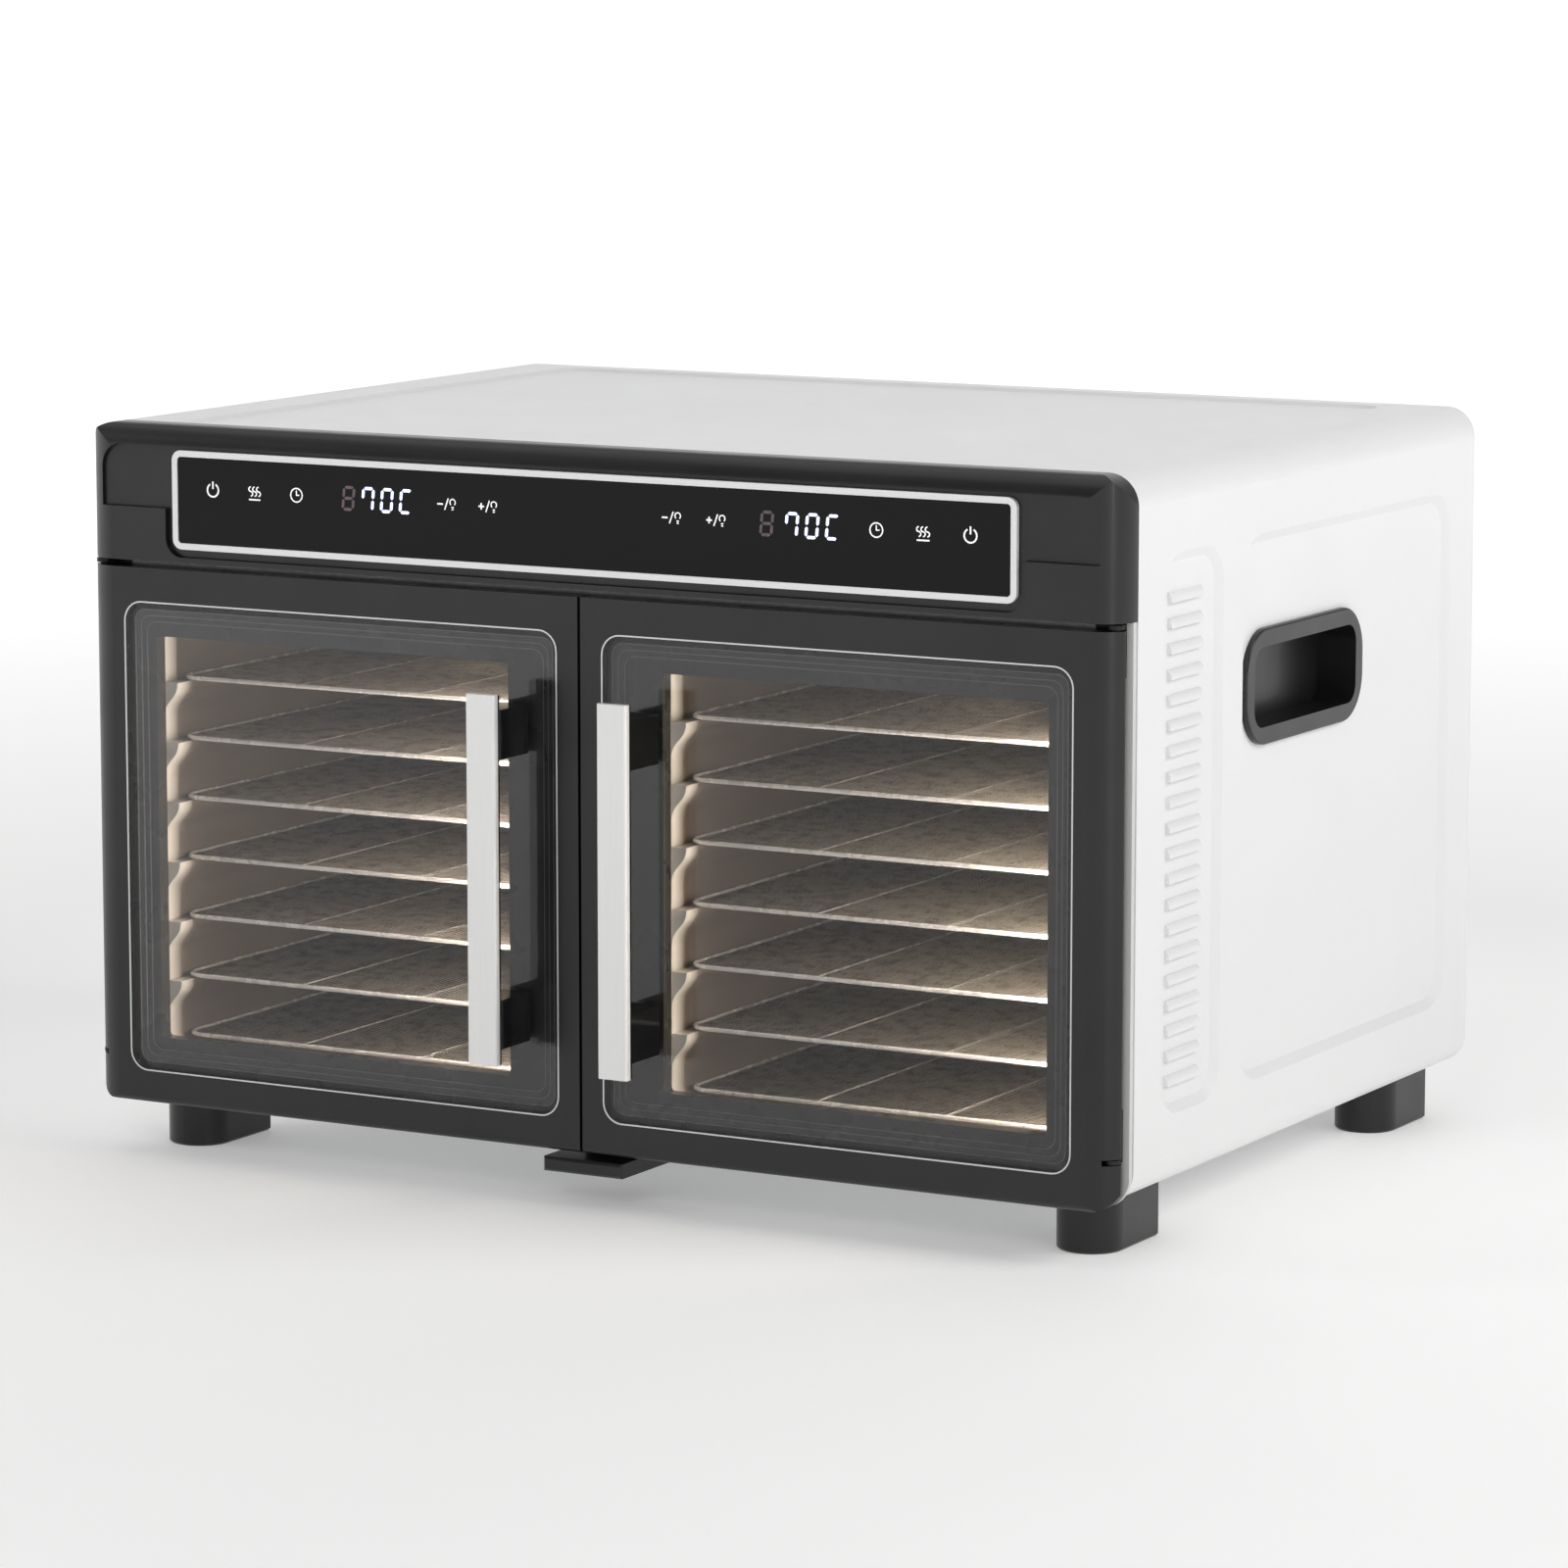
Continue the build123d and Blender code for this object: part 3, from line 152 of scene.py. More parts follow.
def moulded(name, light, dark, rough, grain=1500, depth=0.00004, coat=0.0):
    """Moulded plastic with a spark-eroded grain and faint handling marks."""
    f = Finish(name)
    tone = f.between(f.noise(14, 4), 0.3, 0.7)
    pores = f.noise(grain, 2)
    rubbed = f.between(f.noise(35, 5), 0.4, 0.8)
    return f.show(f.surface(
        Base_Color=f.blend(tone, dark, light), Roughness=rough - 0.04 + 0.09 * rubbed,
        Normal=f.bump(pores, depth), Coat_Weight=coat, Coat_Roughness=0.08))


def brushed(name, light, dark, rough, along, depth=0.00003, metallic=1.0):
    """Metal with fine brush lines along one axis."""
    f = Finish(name)
    stretch = [1.0 if axis == along else 60.0 for axis in "XYZ"]
    lines = f.noise(28, 6, 0.7, stretch)
    cloud = f.noise(16, 3)
    tone = f.between(0.7 * lines + 0.3 * cloud, 0.3, 0.7)
    return f.show(f.surface(
        Base_Color=f.blend(tone, dark, light), Metallic=metallic,
        Roughness=rough - 0.06 + 0.14 * lines, Normal=f.bump(lines, depth)))


def drawn_wire(name, light, dark, rough, metallic=0.85):
    """Bright wire with small dull patches."""
    f = Finish(name)
    dull = f.between(f.noise(120, 4), 0.45, 0.7)
    return f.show(f.surface(
        Base_Color=f.blend(dull, light, dark), Metallic=metallic, Roughness=rough + 0.15 * dull,
        Normal=f.bump(f.noise(900, 2), 0.00003)))


def heater_sheath():
    """Heat-tinted sheath, from brown-grey to straw."""
    f = Finish("heater sheath")
    heat = f.between(f.noise(45, 4), 0.3, 0.7)
    tint = f.blend(heat, (0.23, 0.20, 0.18), (0.36, 0.27, 0.18))
    return f.show(f.surface(Base_Color=tint, Metallic=0.8, Roughness=0.32 + 0.2 * heat,
                            Normal=f.bump(f.noise(700, 2), 0.00005)))


def circuit_board():
    """Lacquered green board with paler tracks."""
    f = Finish("circuit board")
    cells = f.node("TexVoronoi", {"feature": "DISTANCE_TO_EDGE"},
                   {"Vector": f.place(), "Scale": 170.0})
    track = 1 - f.between(cells, 0.03, 0.06)
    tone = f.blend(track, (0.015, 0.12, 0.05), (0.06, 0.24, 0.09))
    return f.show(f.surface(Base_Color=tone, Roughness=0.3 + 0.1 * track,
                            Normal=f.bump(track, 0.00003)))


def polished_black(name, rough, base=0.006, gloss=0.5):
    """Polished black, with faint wipe marks in its gloss."""
    f = Finish(name)
    wiped = f.between(f.noise(22, 5, 0.6, (1, 1, 3)), 0.4, 0.75)
    tone = f.blend(wiped, (base, base, base), (base * 1.8, base * 1.8, base * 2))
    return f.show(f.surface(Base_Color=tone, Roughness=rough + 0.05 * wiped, Specular_IOR_Level=gloss,
                            Normal=f.bump(f.noise(12, 2), 0.00001)))


def smoked_glass():
    """Lightly smoked glass that mirrors more at a flat angle."""
    f = Finish("smoked glass")
    smear = f.between(f.noise(9, 4), 0.35, 0.75)
    clear = f.node("BsdfTransparent", sockets={"Color": (0.86, 0.86, 0.87, 1)})
    mirror = f.surface(Base_Color=colour((1, 1, 1)), Metallic=1.0, Roughness=0.012 + 0.02 * smear)
    fresnel = f.node("Fresnel", sockets={"IOR": 1.52})
    share = fresnel * 0.55
    return f.show(f.node("MixShader", sockets={0: share, 1: clear, 2: mirror}))


def lamp_lens():
    """Frosted lens with an uneven warm glow."""
    f = Finish("lamp lens")
    frost = f.between(f.noise(260, 3), 0.35, 0.7)
    glow = f.blend(frost, (1.0, 0.80, 0.52), (1.0, 0.88, 0.68))
    return f.show(f.surface(Base_Color=colour((0.9, 0.86, 0.78)), Roughness=0.35 + 0.2 * frost,
                            Emission_Color=glow, Emission_Strength=2.2))


def glowing(name, deep, bright, strength):
    """A lit mark, slightly uneven like a backlit legend."""
    f = Finish(name)
    uneven = f.between(f.noise(420, 2), 0.3, 0.7)
    return f.show(f.surface(
        Base_Color=f.blend(uneven, deep, bright), Roughness=0.4 + 0.1 * uneven,
        Emission_Color=f.blend(uneven, deep, bright), Emission_Strength=strength))


def liner_enamel(name, front):
    """Warm brown-grey enamel, paler at the front edge: a painted highlight where light from outside falls
    on the edge.
    """
    f = Finish(name)
    depth = f.node("SeparateXYZ", sockets={0: f.place()}, output=1)
    # 0 at the front edge, where the pale painted highlight sits, rising to 1 deeper in
    past_front_highlight = f.between(depth, front + 3 * MM, front + 12 * MM)
    tone = f.between(f.noise(7, 5), 0.3, 0.7)
    fleck = f.between(f.speckle(700), 0.1, 0.5)
    brown = f.blend(tone, (0.17, 0.135, 0.105), (0.25, 0.21, 0.17))
    # the pale cream at the front is a painted highlight; the brown is the enamel's own colour
    base = f.blend(past_front_highlight, (0.80, 0.77, 0.71), brown)
    return f.show(f.surface(Base_Color=base, Roughness=0.28 + 0.14 * fleck,
                            Normal=f.bump(f.noise(500, 2), 0.00005)))


white_coat = powder_coat("white powder coat", (0.90, 0.90, 0.895), (0.86, 0.86, 0.86))
frame_coat = powder_coat("frame powder coat", (0.72, 0.72, 0.71), (0.66, 0.66, 0.65), 0.45)
black_shell = moulded("black shell", (0.010, 0.010, 0.0105), (0.006, 0.006, 0.0065), 0.36, coat=0.1)
black_surround = moulded("black surround", (0.060, 0.057, 0.052), (0.042, 0.040, 0.037), 0.30)
gloss_black = polished_black("gloss black", 0.08)
panel_black = polished_black("panel black", 0.06, 0.001, 0.18)
display_black = moulded("display black", (0.012, 0.012, 0.013), (0.008, 0.008, 0.008), 0.5)
foot_rubber = moulded("foot rubber", (0.008, 0.008, 0.008), (0.004, 0.004, 0.004), 0.32, 900, 0.00005)
seal_rubber = moulded("seal rubber", (0.05, 0.05, 0.05), (0.03, 0.03, 0.03), 0.6, 700, 0.00006)
trim_metal = brushed("satin trim", (0.98, 0.98, 0.98), (0.93, 0.93, 0.94), 0.28, "X", metallic=0.0)
bar_metal = brushed("brushed bar", (0.97, 0.97, 0.96), (0.90, 0.90, 0.89), 0.32, "Z", metallic=0.12)
black_zinc = brushed("black zinc", (0.035, 0.035, 0.036), (0.018, 0.018, 0.019), 0.42, "Z", metallic=0.6)
pan_metal = brushed("base sheet", (0.62, 0.63, 0.64), (0.48, 0.49, 0.50), 0.42, "X")
guard_metal = brushed("guard sheet", (0.50, 0.48, 0.45), (0.38, 0.36, 0.34), 0.38, "Z")
ground_metal = brushed("ground steel", (0.70, 0.70, 0.71), (0.52, 0.52, 0.53), 0.28, "Y")
tray_rail = drawn_wire("tray rail", (0.97, 0.95, 0.91), (0.86, 0.83, 0.78), 0.22, 0.25)
tray_cloth = drawn_wire("tray wire cloth", (0.50, 0.46, 0.41), (0.28, 0.25, 0.22), 0.34)
sheath = heater_sheath()
board = circuit_board()
glass = smoked_glass()
lens = lamp_lens()
# near-white ring round the glass: a painted highlight on its edge
glass_highlight_finish = brushed("glass edge highlight", (0.85, 0.88, 0.87), (0.62, 0.66, 0.65), 0.2, "Z", metallic=0.3)
# pale grey rings on the surround's steps: a painted highlight on their edges
step_edge = moulded("step edge highlight", (0.24, 0.235, 0.225), (0.17, 0.165, 0.16), 0.3)
lit_digit = glowing("lit digit", (0.52, 0.58, 1.0), (0.80, 0.85, 1.0), 1.35)
lit_mark = glowing("lit mark", (0.80, 0.80, 0.80), (1.0, 1.0, 1.0), 0.55)
# the unlit digit glows faintly although none of its segments is lit: a painted glow; its dark colour is
# its own
dark_digit = glowing("unlit digit", (0.10, 0.07, 0.08), (0.16, 0.12, 0.13), 0.1)

NODE_FINISHES = {
    "cabinet_wrap": white_coat, "rear_panel": white_coat, "front_frame": frame_coat,
    "base_pan": pan_metal, "control_head": black_shell, "panel_trim": trim_metal,
    "control_glass": panel_black, "control_board": board, "display_modules": display_black,
    "temperature_sensors": ground_metal, "chamber_lamps": lens, "power_board": board,
    "power_inlet": display_black, "feet": foot_rubber, "catch_plate": black_shell,
    "base_screws": ground_metal, "rear_screws": ground_metal, "hinge_plates": black_zinc,
}
SIDE_FINISHES = {
    "fan_guard": guard_metal, "heater": sheath, "motor": pan_metal,
    "fan": guard_metal, "fan_shaft": ground_metal, "grip": black_shell, "door_frame": black_shell,
    "door_glass": glass, "window_surround": black_surround, "door_seal": seal_rubber,
    "door_magnets": ground_metal, "handle_bar": bar_metal, "handle_bracket": gloss_black,
}


def paint(piece, finish):
    """Gives the whole piece one finish."""
    piece.data.materials.clear()
    piece.data.materials.append(finish)


for node, finish in NODE_FINISHES.items():
    paint(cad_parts[node], finish)
for side in SIDES:
    for part, finish in SIDE_FINISHES.items():
        paint(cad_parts[f"{side}_{part}"], finish)
    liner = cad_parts[f"{side}_liner"]
    liner_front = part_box(f"{side}_liner")[0][1] - liner.matrix_world.translation.y
    paint(liner, liner_enamel(f"{side} liner enamel", liner_front))


# ---- making pieces ----
def add_piece(name, mesh, finish, body):
    """Puts a made mesh or curve into the scene, on a body."""
    piece = bpy.data.objects.new(name, mesh)
    bpy.context.scene.collection.objects.link(piece)
    paint(piece, finish)
    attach(piece, body)
    return piece


def wires(name, runs, radius, closed=False, sides=0):
    """Round wire along each run of points."""
    curve = bpy.data.curves.new(name, "CURVE")
    curve.dimensions = "3D"
    curve.bevel_depth = radius
    curve.bevel_resolution = sides
    curve.use_fill_caps = True
    for run in runs:
        spline = curve.splines.new("POLY")
        spline.points.add(len(run) - 1)
        for point, place in zip(spline.points, run):
            point.co = (*place, 1)
        spline.use_cyclic_u = closed
    return curve


def rounded_loop(x0, x1, y0, y1, radius, steps=8):
    """Points round a rectangle with rounded corners."""
    points = []
    corners = ((x1 - radius, y1 - radius, 0), (x0 + radius, y1 - radius, 90),
               (x0 + radius, y0 + radius, 180), (x1 - radius, y0 + radius, 270))
    for x, y, start in corners:
        for step in range(steps + 1):
            turn = math.radians(start + 90 * step / steps)
            points.append((x + radius * math.cos(turn), y + radius * math.sin(turn)))
    return points


# ---- wire trays ----
TRAY_CORNER = 10 * MM
ROD_RADIUS = 0.9 * MM
ROD_DROP = 0.2 * MM             # rods below the rim's centre line
CLOTH_PITCH = 2.7 * MM
CLOTH_RADIUS = 0.30 * MM
CLOTH_LIFT = 0.25 * MM          # each layer of the cloth from the tray's middle


def corner_inset(distance, radius):
    """How far a rounded corner cuts in, at a distance from the side."""
    if distance >= radius:
        return 0.0
    return radius - math.sqrt(radius ** 2 - (radius - distance) ** 2)


def tray_cloth_runs(x0, x1, y0, y1, z, radius, pitch, lift):
    """Wires across, and wires along just above them."""
    runs = []
    rows = round((y1 - y0) / pitch)
    for row in range(1, rows):
        y = y0 + (y1 - y0) * row / rows
        cut = corner_inset(min(y - y0, y1 - y), radius)
        runs.append([(x0 + cut, y, z - lift), (x1 - cut, y, z - lift)])
    columns = round((x1 - x0) / pitch)
    for column in range(1, columns):
        x = x0 + (x1 - x0) * column / columns
        cut = corner_inset(min(x - x0, x1 - x), radius)
        runs.append([(x, y0 + cut, z + lift), (x, y1 - cut, z + lift)])
    return runs


def wire_tray(node):
    """A tray of drawn wire: a rim, two carrying rods and a fine cloth."""
    low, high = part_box(node)
    rim_radius = (high[2] - low[2]) / 2
    z = (low[2] + high[2]) / 2
    x0, x1 = low[0] + rim_radius, high[0] - rim_radius
    y0, y1 = low[1] + rim_radius, high[1] - rim_radius
    loop = [(x, y, z) for x, y in rounded_loop(x0, x1, y0, y1, TRAY_CORNER)]
    rim_wire = wires(f"{node}_rim", [loop], rim_radius, True, 3)
    rim = add_piece(f"{node}_rim", rim_wire, tray_rail, node)
    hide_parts(node)
    third = (x1 - x0) / 3
    rod_z = z - ROD_DROP
    rods = [[(x, y0, rod_z), (x, y1, rod_z)] for x in (x0 + third, x1 - third)]
    rod_wires = wires(f"{node}_rods", rods, ROD_RADIUS, sides=2)
    add_piece(f"{node}_rods", rod_wires, tray_rail, node)
    cloth = tray_cloth_runs(x0, x1, y0, y1, z, TRAY_CORNER, CLOTH_PITCH, CLOTH_LIFT)
    cloth_wires = wires(f"{node}_cloth", cloth, CLOTH_RADIUS)
    add_piece(f"{node}_cloth", cloth_wires, tray_cloth, node)


for side in SIDES:
    for number in range(TRAYS):
        wire_tray(f"{side}_tray_{number + 1}")


# ---- marks on the control glass, in millimetres ----
MARK_T = 0.12                   # how far the marks stand off the glass
MARK_RISE = 5.6                 # marks above the middle of the glass
POWER_X = 204.5
HEAT_X = 180.5
CLOCK_X = 156.6
STEP_MARKS = ((-72.0, False), (-49.3, True), (50.0, False), (73.5, True))
READING = "70C"
DIGIT_W = 5.6
DIGIT_H = 10.4
DIGIT_DROP = 5.2                # foot of the digits below the middle of the marks
DIGIT_BAR = 1.45
DIGIT_GAP = 0.35                # end of a bar from the corner it points at
DIGIT_LEAN = 0.09
DIGIT_PLACES = {                # the unlit digit, then the lit ones
    "left": (-130.4, (-119.5, -108.9, -98.3)),
    "right": (96.6, (109.6, 120.2, 130.8)),
}


def flat_mesh(name, outlines, front):
    """Thin plates in the X and Z directions, from closed outlines, facing the front."""
    form = bmesh.new()
    for outline in outlines:
        near = [form.verts.new((x, front - MARK_T * MM, z)) for x, z in outline]
        far = [form.verts.new((x, front, z)) for x, z in outline]
        form.faces.new(near)
        form.faces.new(list(reversed(far)))
        for number, vert in enumerate(near):
            after = (number + 1) % len(near)
            form.faces.new((vert, far[number], far[after], near[after]))
    bmesh.ops.recalc_face_normals(form, faces=form.faces)
    mesh = bpy.data.meshes.new(name)
    form.to_mesh(mesh)
    form.free()
    return mesh


def stroke(start, end, width):
    """A straight stroke as a closed outline."""
    a, b = Vector(start), Vector(end)
    across = (b - a).normalized().orthogonal() * width / 2
    return [tuple(a + across), tuple(b + across), tuple(b - across), tuple(a - across)]


def arc_strokes(centre, radius, start, end, width, steps=14):
    """A curved stroke as a row of short outlines."""
    outlines = []
    for step in range(steps):
        t0 = math.radians(start + (end - start) * step / steps)
        t1 = math.radians(start + (end - start) * (step + 1) / steps)
        quad = []
        for t, r in ((t0, radius + width / 2), (t1, radius + width / 2),
                     (t1, radius - width / 2), (t0, radius - width / 2)):
            quad.append((centre[0] + r * math.cos(t), centre[1] + r * math.sin(t)))
        outlines.append(quad)
    return outlines


SEGMENTS = {
    "top": ((0, 1), (1, 1)), "middle": ((0, 0.5), (1, 0.5)), "base": ((0, 0), (1, 0)),
    "upper left": ((0, 0.5), (0, 1)), "upper right": ((1, 0.5), (1, 1)),
    "lower left": ((0, 0), (0, 0.5)), "lower right": ((1, 0), (1, 0.5)),
}
DIGITS = {
    "7": ("top", "upper right", "lower right", "upper left"),
    "0": ("top", "base", "upper left", "upper right", "lower left", "lower right"),
    "C": ("top", "base", "upper left", "lower left"),
    "8": tuple(SEGMENTS),
}


def digit_outlines(sign, x, z):
    """The lit bars of one sign, pointed at both ends and leaning a little."""
    outlines = []
    for segment in DIGITS[sign]:
        (ax, az), (bx, bz) = SEGMENTS[segment]
        a = Vector((ax * DIGIT_W, az * DIGIT_H))
        b = Vector((bx * DIGIT_W, bz * DIGIT_H))
        along = (b - a).normalized()
        across = along.orthogonal() * DIGIT_BAR / 2
        a += along * DIGIT_GAP
        b -= along * DIGIT_GAP
        tip = along * DIGIT_BAR / 2
        points = [a, a + tip + across, b - tip + across, b, b - tip - across, a + tip - across]
        outlines.append([((x + p.x + DIGIT_LEAN * p.y) * MM, (z + p.y) * MM) for p in points])
    return outlines


def in_metres(outlines, x, z):
    """Outlines in millimetres about a place, in metres."""
    return [[((x + px) * MM, (z + pz) * MM) for px, pz in outline] for outline in outlines]


def power_mark():
    """A ring open at the top with a bar in the gap."""
    return arc_strokes((0, 0), 3.2, 120, 420, 0.75) + [stroke((0, 0.6), (0, 4.2), 0.75)]


def clock_mark():
    """A ring with two hands."""
    hands = [stroke((0, -0.2), (0, 2.2), 0.55), stroke((0, 0), (1.6, 0), 0.55)]
    return arc_strokes((0, 0), 3.3, 0, 360, 0.6) + hands


def heat_mark():
    """Three rising wavy lines over a bar."""
    outlines = [stroke((-3.2, -3.4), (3.2, -3.4), 0.7)]
    for x in (-2.2, 0, 2.2):
        outlines += arc_strokes((x, -0.6), 1.1, -90, 90, 0.6, 6)
        outlines += arc_strokes((x, 1.6), 1.1, 90, 270, 0.6, 6)
    return outlines


def bulb_mark(x):
    """A small lamp beside a slash."""
    slash = [stroke((x - 2.6, -2.6), (x - 0.6, 2.8), 0.6)]
    bulb = arc_strokes((x + 1.8, 1.0), 1.5, -50, 230, 0.55, 10)
    cap = [stroke((x + 1.2, -1.4), (x + 2.4, -1.4), 0.6)]
    cap.append(stroke((x + 1.3, -2.4), (x + 2.3, -2.4), 0.55))
    return slash + bulb + cap


def step_mark(plus):
    """A minus or plus sign with the lamp mark after it."""
    sign = [stroke((-5.4, 0), (-2.4, 0), 0.75)]
    if plus:
        sign.append(stroke((-3.9, -1.5), (-3.9, 1.5), 0.75))
    return sign + bulb_mark(1.2)


def add_marks(name, outlines, front, finish):
    """Puts outlines on the control glass as one piece."""
    add_piece(name, flat_mesh(name, outlines, front), finish, "cabinet")


def panel_marks():
    """Every mark and digit on the control glass."""
    low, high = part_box("control_glass")
    front = low[1]
    z = (low[2] + high[2]) / 2 / MM + MARK_RISE
    marks = []
    for side in (-1, 1):
        marks += in_metres(power_mark(), side * POWER_X, z)
        marks += in_metres(heat_mark(), side * HEAT_X, z)
        marks += in_metres(clock_mark(), side * CLOCK_X, z)
    for x, plus in STEP_MARKS:
        marks += in_metres(step_mark(plus), x, z)
    add_marks("panel_marks", marks, front, lit_mark)
    foot = z - DIGIT_DROP
    for side, (unlit_x, lit_places) in DIGIT_PLACES.items():
        lit = []
        for sign, x in zip(READING, lit_places):
            lit += digit_outlines(sign, x, foot)
        add_marks(f"{side}_digits", lit, front, lit_digit)
        add_marks(f"{side}_unlit_digit", digit_outlines("8", unlit_x, foot), front, dark_digit)


panel_marks()


# ---- painted highlights on the edges of the doors ----
GLASS_CORNER = 10 * MM
GLASS_BAND = 0.7 * MM           # width of the pale border, a painted highlight
GLASS_PROUD = 0.12 * MM         # border in front of the glass
GLASS_SUNK = 0.3 * MM           # border behind the front of the glass
STEP_INSETS = (4, 7, 10)        # each step from the edge of the glass, in millimetres
STEP_BAND = 0.45 * MM
STEP_CORNER = 6 * MM            # smallest corner of a step
STEP_GAP = 0.05                 # first step behind the glass, in millimetres
STEP_FALL = 0.7                 # each step behind the one before, in millimetres
STEP_T = 0.6 * MM


def ring_mesh(name, outer, inner, front, back):
    """A flat ring between two loops with the same number of points."""
    form = bmesh.new()
    rows = []
    for loop, y in ((outer, front), (inner, front), (inner, back), (outer, back)):
        rows.append([form.verts.new((x, y, z)) for x, z in loop])
    count = len(outer)
    for number in range(count):
        after = (number + 1) % count
        for a in range(4):
            b = (a + 1) % 4
            form.faces.new((rows[a][number], rows[a][after], rows[b][after], rows[b][number]))
    bmesh.ops.recalc_face_normals(form, faces=form.faces)
    mesh = bpy.data.meshes.new(name)
    form.to_mesh(mesh)
    form.free()
    return mesh


def inset_loop(box, inset, radius):
    """Points round the front of a box, set in from its sides."""
    low, high = box
    return rounded_loop(low[0] + inset, high[0] - inset, low[2] + inset, high[2] - inset, radius)


def glass_edge_highlight(side):
    """A pale border round the glass: its ground edge is real, its brightness a painted highlight where
    the edge catches the light.
    """
    glass_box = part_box(f"{side}_door_glass")
    front = glass_box[0][1]
    outer = inset_loop(glass_box, 0, GLASS_CORNER)
    inner = inset_loop(glass_box, GLASS_BAND, GLASS_CORNER - GLASS_BAND)
    name = f"{side}_glass_edge_highlight"
    mesh = ring_mesh(name, outer, inner, front - GLASS_PROUD, front + GLASS_SUNK)
    add_piece(name, mesh, glass_highlight_finish, f"{side}_door")


def step_edges(side):
    """A pale ring at the edge of each step of the window surround: a painted highlight where the light
    catches it.
    """
    glass_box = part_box(f"{side}_door_glass")
    glass_back = glass_box[1][1]
    for number, step_inset in enumerate(STEP_INSETS):
        inset = step_inset * MM
        radius = max(GLASS_CORNER - inset, STEP_CORNER)
        front = glass_back + (STEP_GAP + STEP_FALL * number) * MM
        outer = inset_loop(glass_box, inset, radius)
        inner = inset_loop(glass_box, inset + STEP_BAND, radius - STEP_BAND)
        name = f"{side}_surround_edge_{number + 1}"
        mesh = ring_mesh(name, outer, inner, front, front + STEP_T)
        add_piece(name, mesh, step_edge, f"{side}_door")


for side in SIDES:
    glass_edge_highlight(side)
    step_edges(side)


# ---- studio ----
def stage_plane(name, width, near, far, height, finish, turn):
    """A level stage surface, turned to face the camera."""
    mesh = bpy.data.meshes.new(name)
    corners = [(-width, near, height), (width, near, height), (width, far, height), (-width, far, height)]
    mesh.from_pydata(corners, [], [(0, 1, 2, 3)])
    plane = bpy.data.objects.new(name, mesh)
    plane.rotation_euler = (0, 0, turn)
    bpy.context.scene.collection.objects.link(plane)
    paint(plane, finish)


def floor_finish(name, light, dark, glow, far_glow):
    """Matt pale floor with a faint cloudy tone; its glow is weaker near the object, a painted shadow
    round it.
    """
    f = Finish(name)
    tone = f.between(f.noise(1.3, 3), 0.3, 0.7)
    base = f.blend(tone, dark, light)
    reach = f.node("VectorMath", {"operation": "LENGTH"}, {0: f.place()}, output=1)
    # glow rises from near the object, where it is a painted shadow, out to the open floor
    far = f.between(reach, 0.8, 3.2)
    glow_with_painted_shadow = f.blend(far, (glow, glow, glow), (far_glow, far_glow, far_glow))
    return f.show(f.surface(Base_Color=base, Roughness=0.7 + 0.1 * tone,
                            Emission_Color=glow_with_painted_shadow, Emission_Strength=1.0))


def softbox(name, place, aim, width, height, power, tint=(1, 1, 1)):
    """An area light aimed at a point."""
    light = bpy.data.lights.new(name, "AREA")
    light.shape = "RECTANGLE"
    light.size = width
    light.size_y = height
    light.energy = power
    light.color = tint
    lamp = bpy.data.objects.new(name, light)
    lamp.location = place
    lamp.rotation_euler = (Vector(aim) - Vector(place)).to_track_quat("-Z", "Y").to_euler()
    bpy.context.scene.collection.objects.link(lamp)


def studio_world(forward):
    """White behind the object as the camera sees it, and dim in front of it."""
    world = bpy.data.worlds.new("studio")
    bpy.context.scene.world = world
    f = Finish("studio", world)
    direction = f.node("TexCoord", output=0)
    ahead = f.node("VectorMath", {"operation": "DOT_PRODUCT"}, {0: direction, 1: forward}, output=1)
    smooth = {"interpolation_type": "SMOOTHSTEP"}
    behind = f.node("MapRange", smooth, {0: ahead, 1: 0.72, 2: 0.90})
    front = f.node("MapRange", smooth, {0: ahead, 1: -0.1, 2: -0.8})
    tone = f.blend(front, (0.34, 0.34, 0.345), (0.09, 0.09, 0.093))
    tone = f.blend(behind, tone, (1.0, 1.0, 1.0))
    f.show(f.node("Background", sockets={"Color": tone, "Strength": 1.0}))


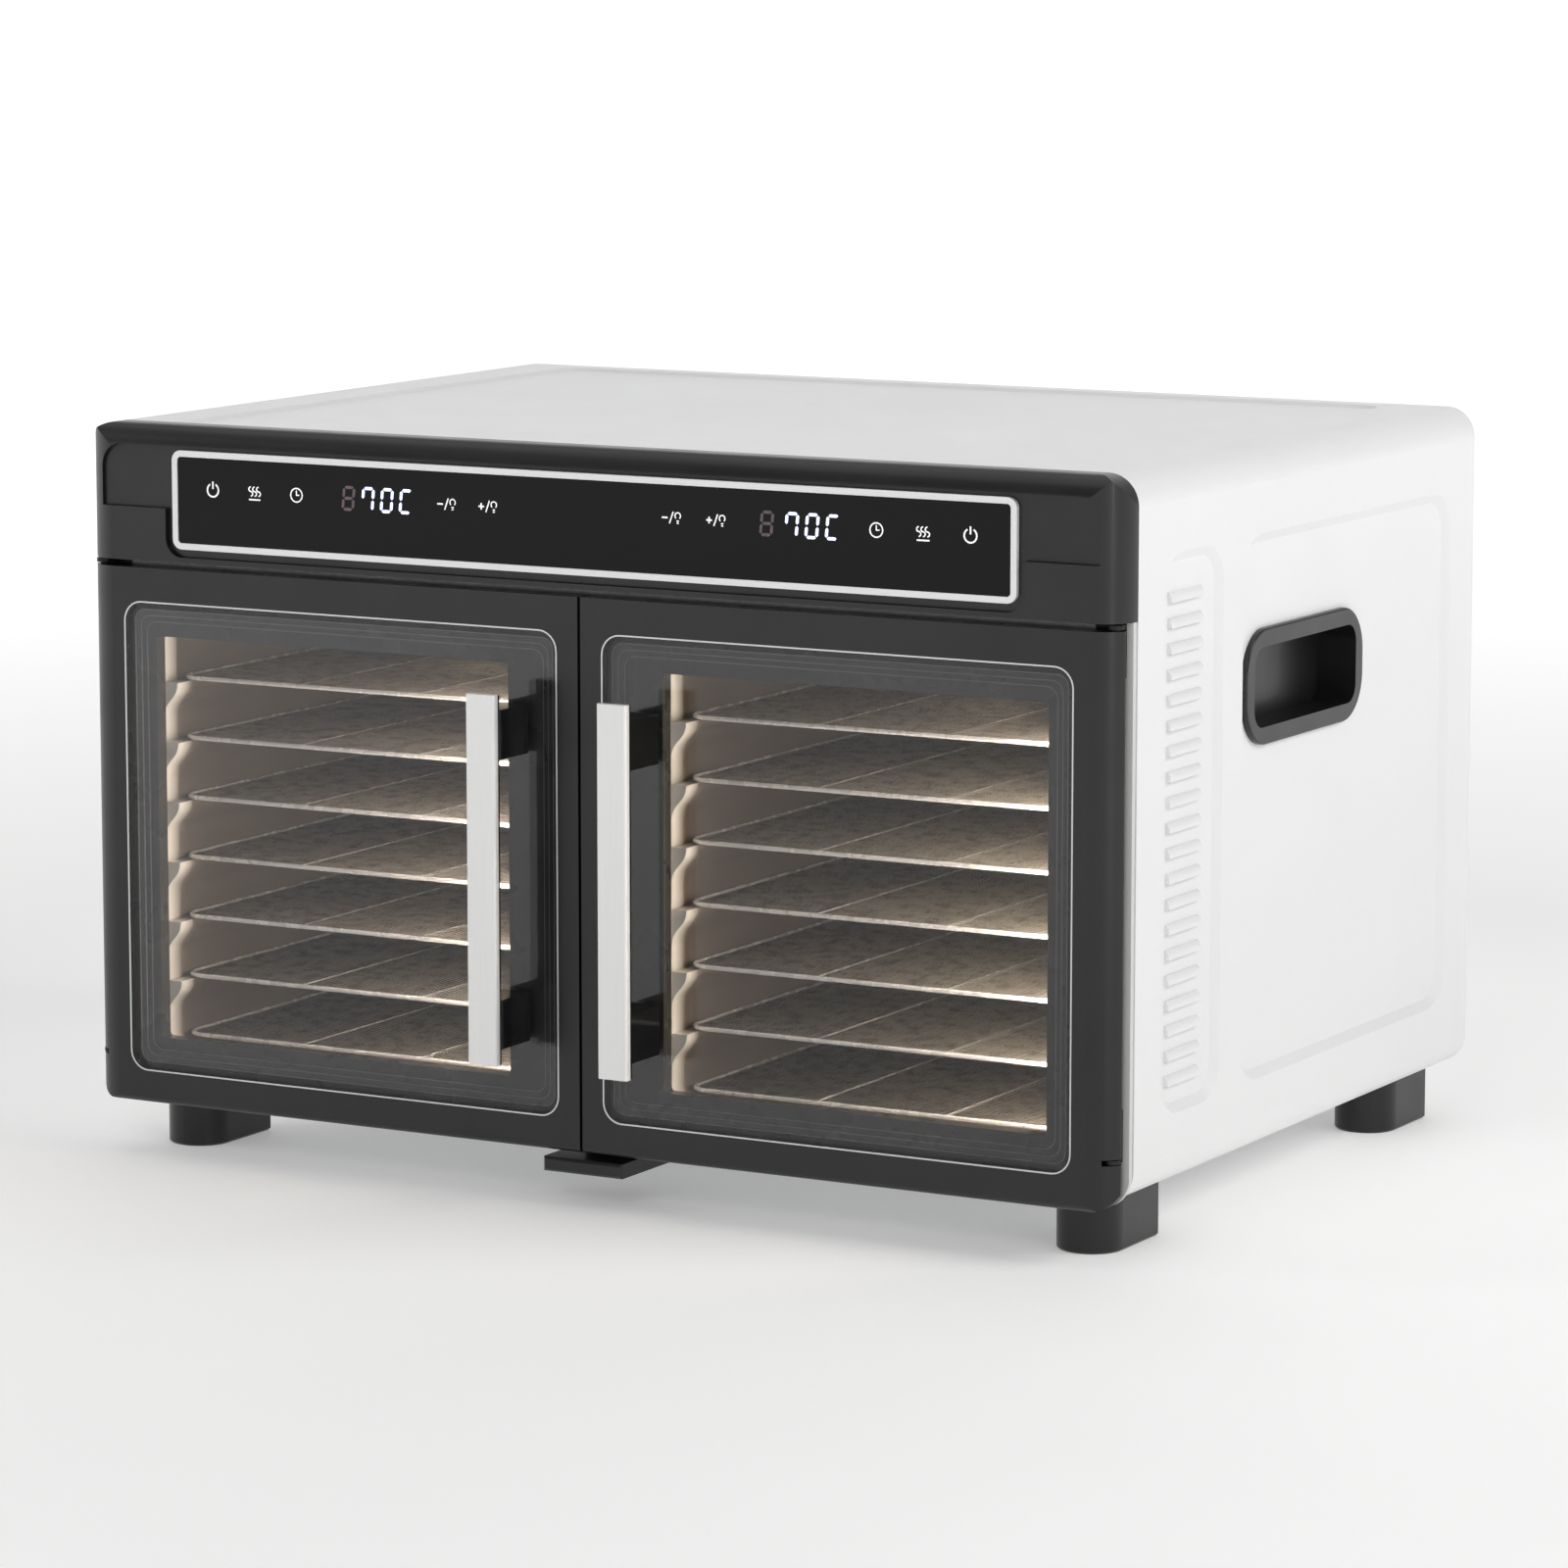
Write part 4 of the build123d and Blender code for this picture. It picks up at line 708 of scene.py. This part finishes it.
YAW = 29.17                     # degrees
PITCH = 8.555                   # degrees below level
LENS = 143.1
SENSOR = 36.0
CAMERA_PLACE = (1.4842, -2.6467, 0.6347)
FLOOR_HALF_WIDTH = 60
FLOOR_NEAR = -60
FLOOR_FAR = 90
STRIP_IN = 5 * MM               # zone strips from the liner's side and front
STRIP_AIM = 0.10                # how far back the strips point
STRIP_W = 0.006
STRIP_H = 0.19
STRIP_POWER = 0.85
STRIP_TINT = (1.0, 0.87, 0.72)

turn = math.radians(YAW)
# the floor glows 0.24 near the object and 0.85 far out: the dim glow near it is a painted shadow
pale = floor_finish("floor", (0.88, 0.88, 0.87), (0.85, 0.85, 0.84), 0.24, 0.85)
stage_plane("floor", FLOOR_HALF_WIDTH, FLOOR_NEAR, FLOOR_FAR, 0, pale, turn)
studio_world((-math.sin(turn), math.cos(turn), 0))
# name, place, point aimed at, width, height, power
softbox("overhead", (-0.3, -0.2, 2.4), (0, 0, 0.2), 2.6, 2.0, 9)
softbox("left key", (-2.6, -1.3, 1.2), (-0.1, -0.2, 0.15), 0.7, 1.6, 12)
softbox("right fill", (2.4, 0.3, 1.75), (0.25, 0.1, 0.22), 1.4, 1.0, 27)
softbox("right edge strip", (2.2, -1.75, 0.6), (0.28, -0.18, 0.18), 0.22, 1.1, 4.5)
softbox("front fill", (0.9, -3.0, 1.9), (0, -0.2, 0.2), 1.0, 0.8, 12)
for side in SIDES:
    low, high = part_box(f"{side}_liner")
    x = high[0] - STRIP_IN
    y = low[1] + STRIP_IN
    z = (low[2] + high[2]) / 2
    aim = (low[0], y + STRIP_AIM, z)
    softbox(f"{side} zone strip", (x, y, z), aim, STRIP_W, STRIP_H, STRIP_POWER, STRIP_TINT)

camera_data = bpy.data.cameras.new("camera")
camera_data.lens = LENS
camera_data.sensor_width = SENSOR
camera = bpy.data.objects.new("camera", camera_data)
camera.location = CAMERA_PLACE
camera.rotation_euler = (math.radians(90 - PITCH), 0, turn)
bpy.context.scene.collection.objects.link(camera)
bpy.context.scene.camera = camera
bpy.context.scene.view_settings.view_transform = "Standard"
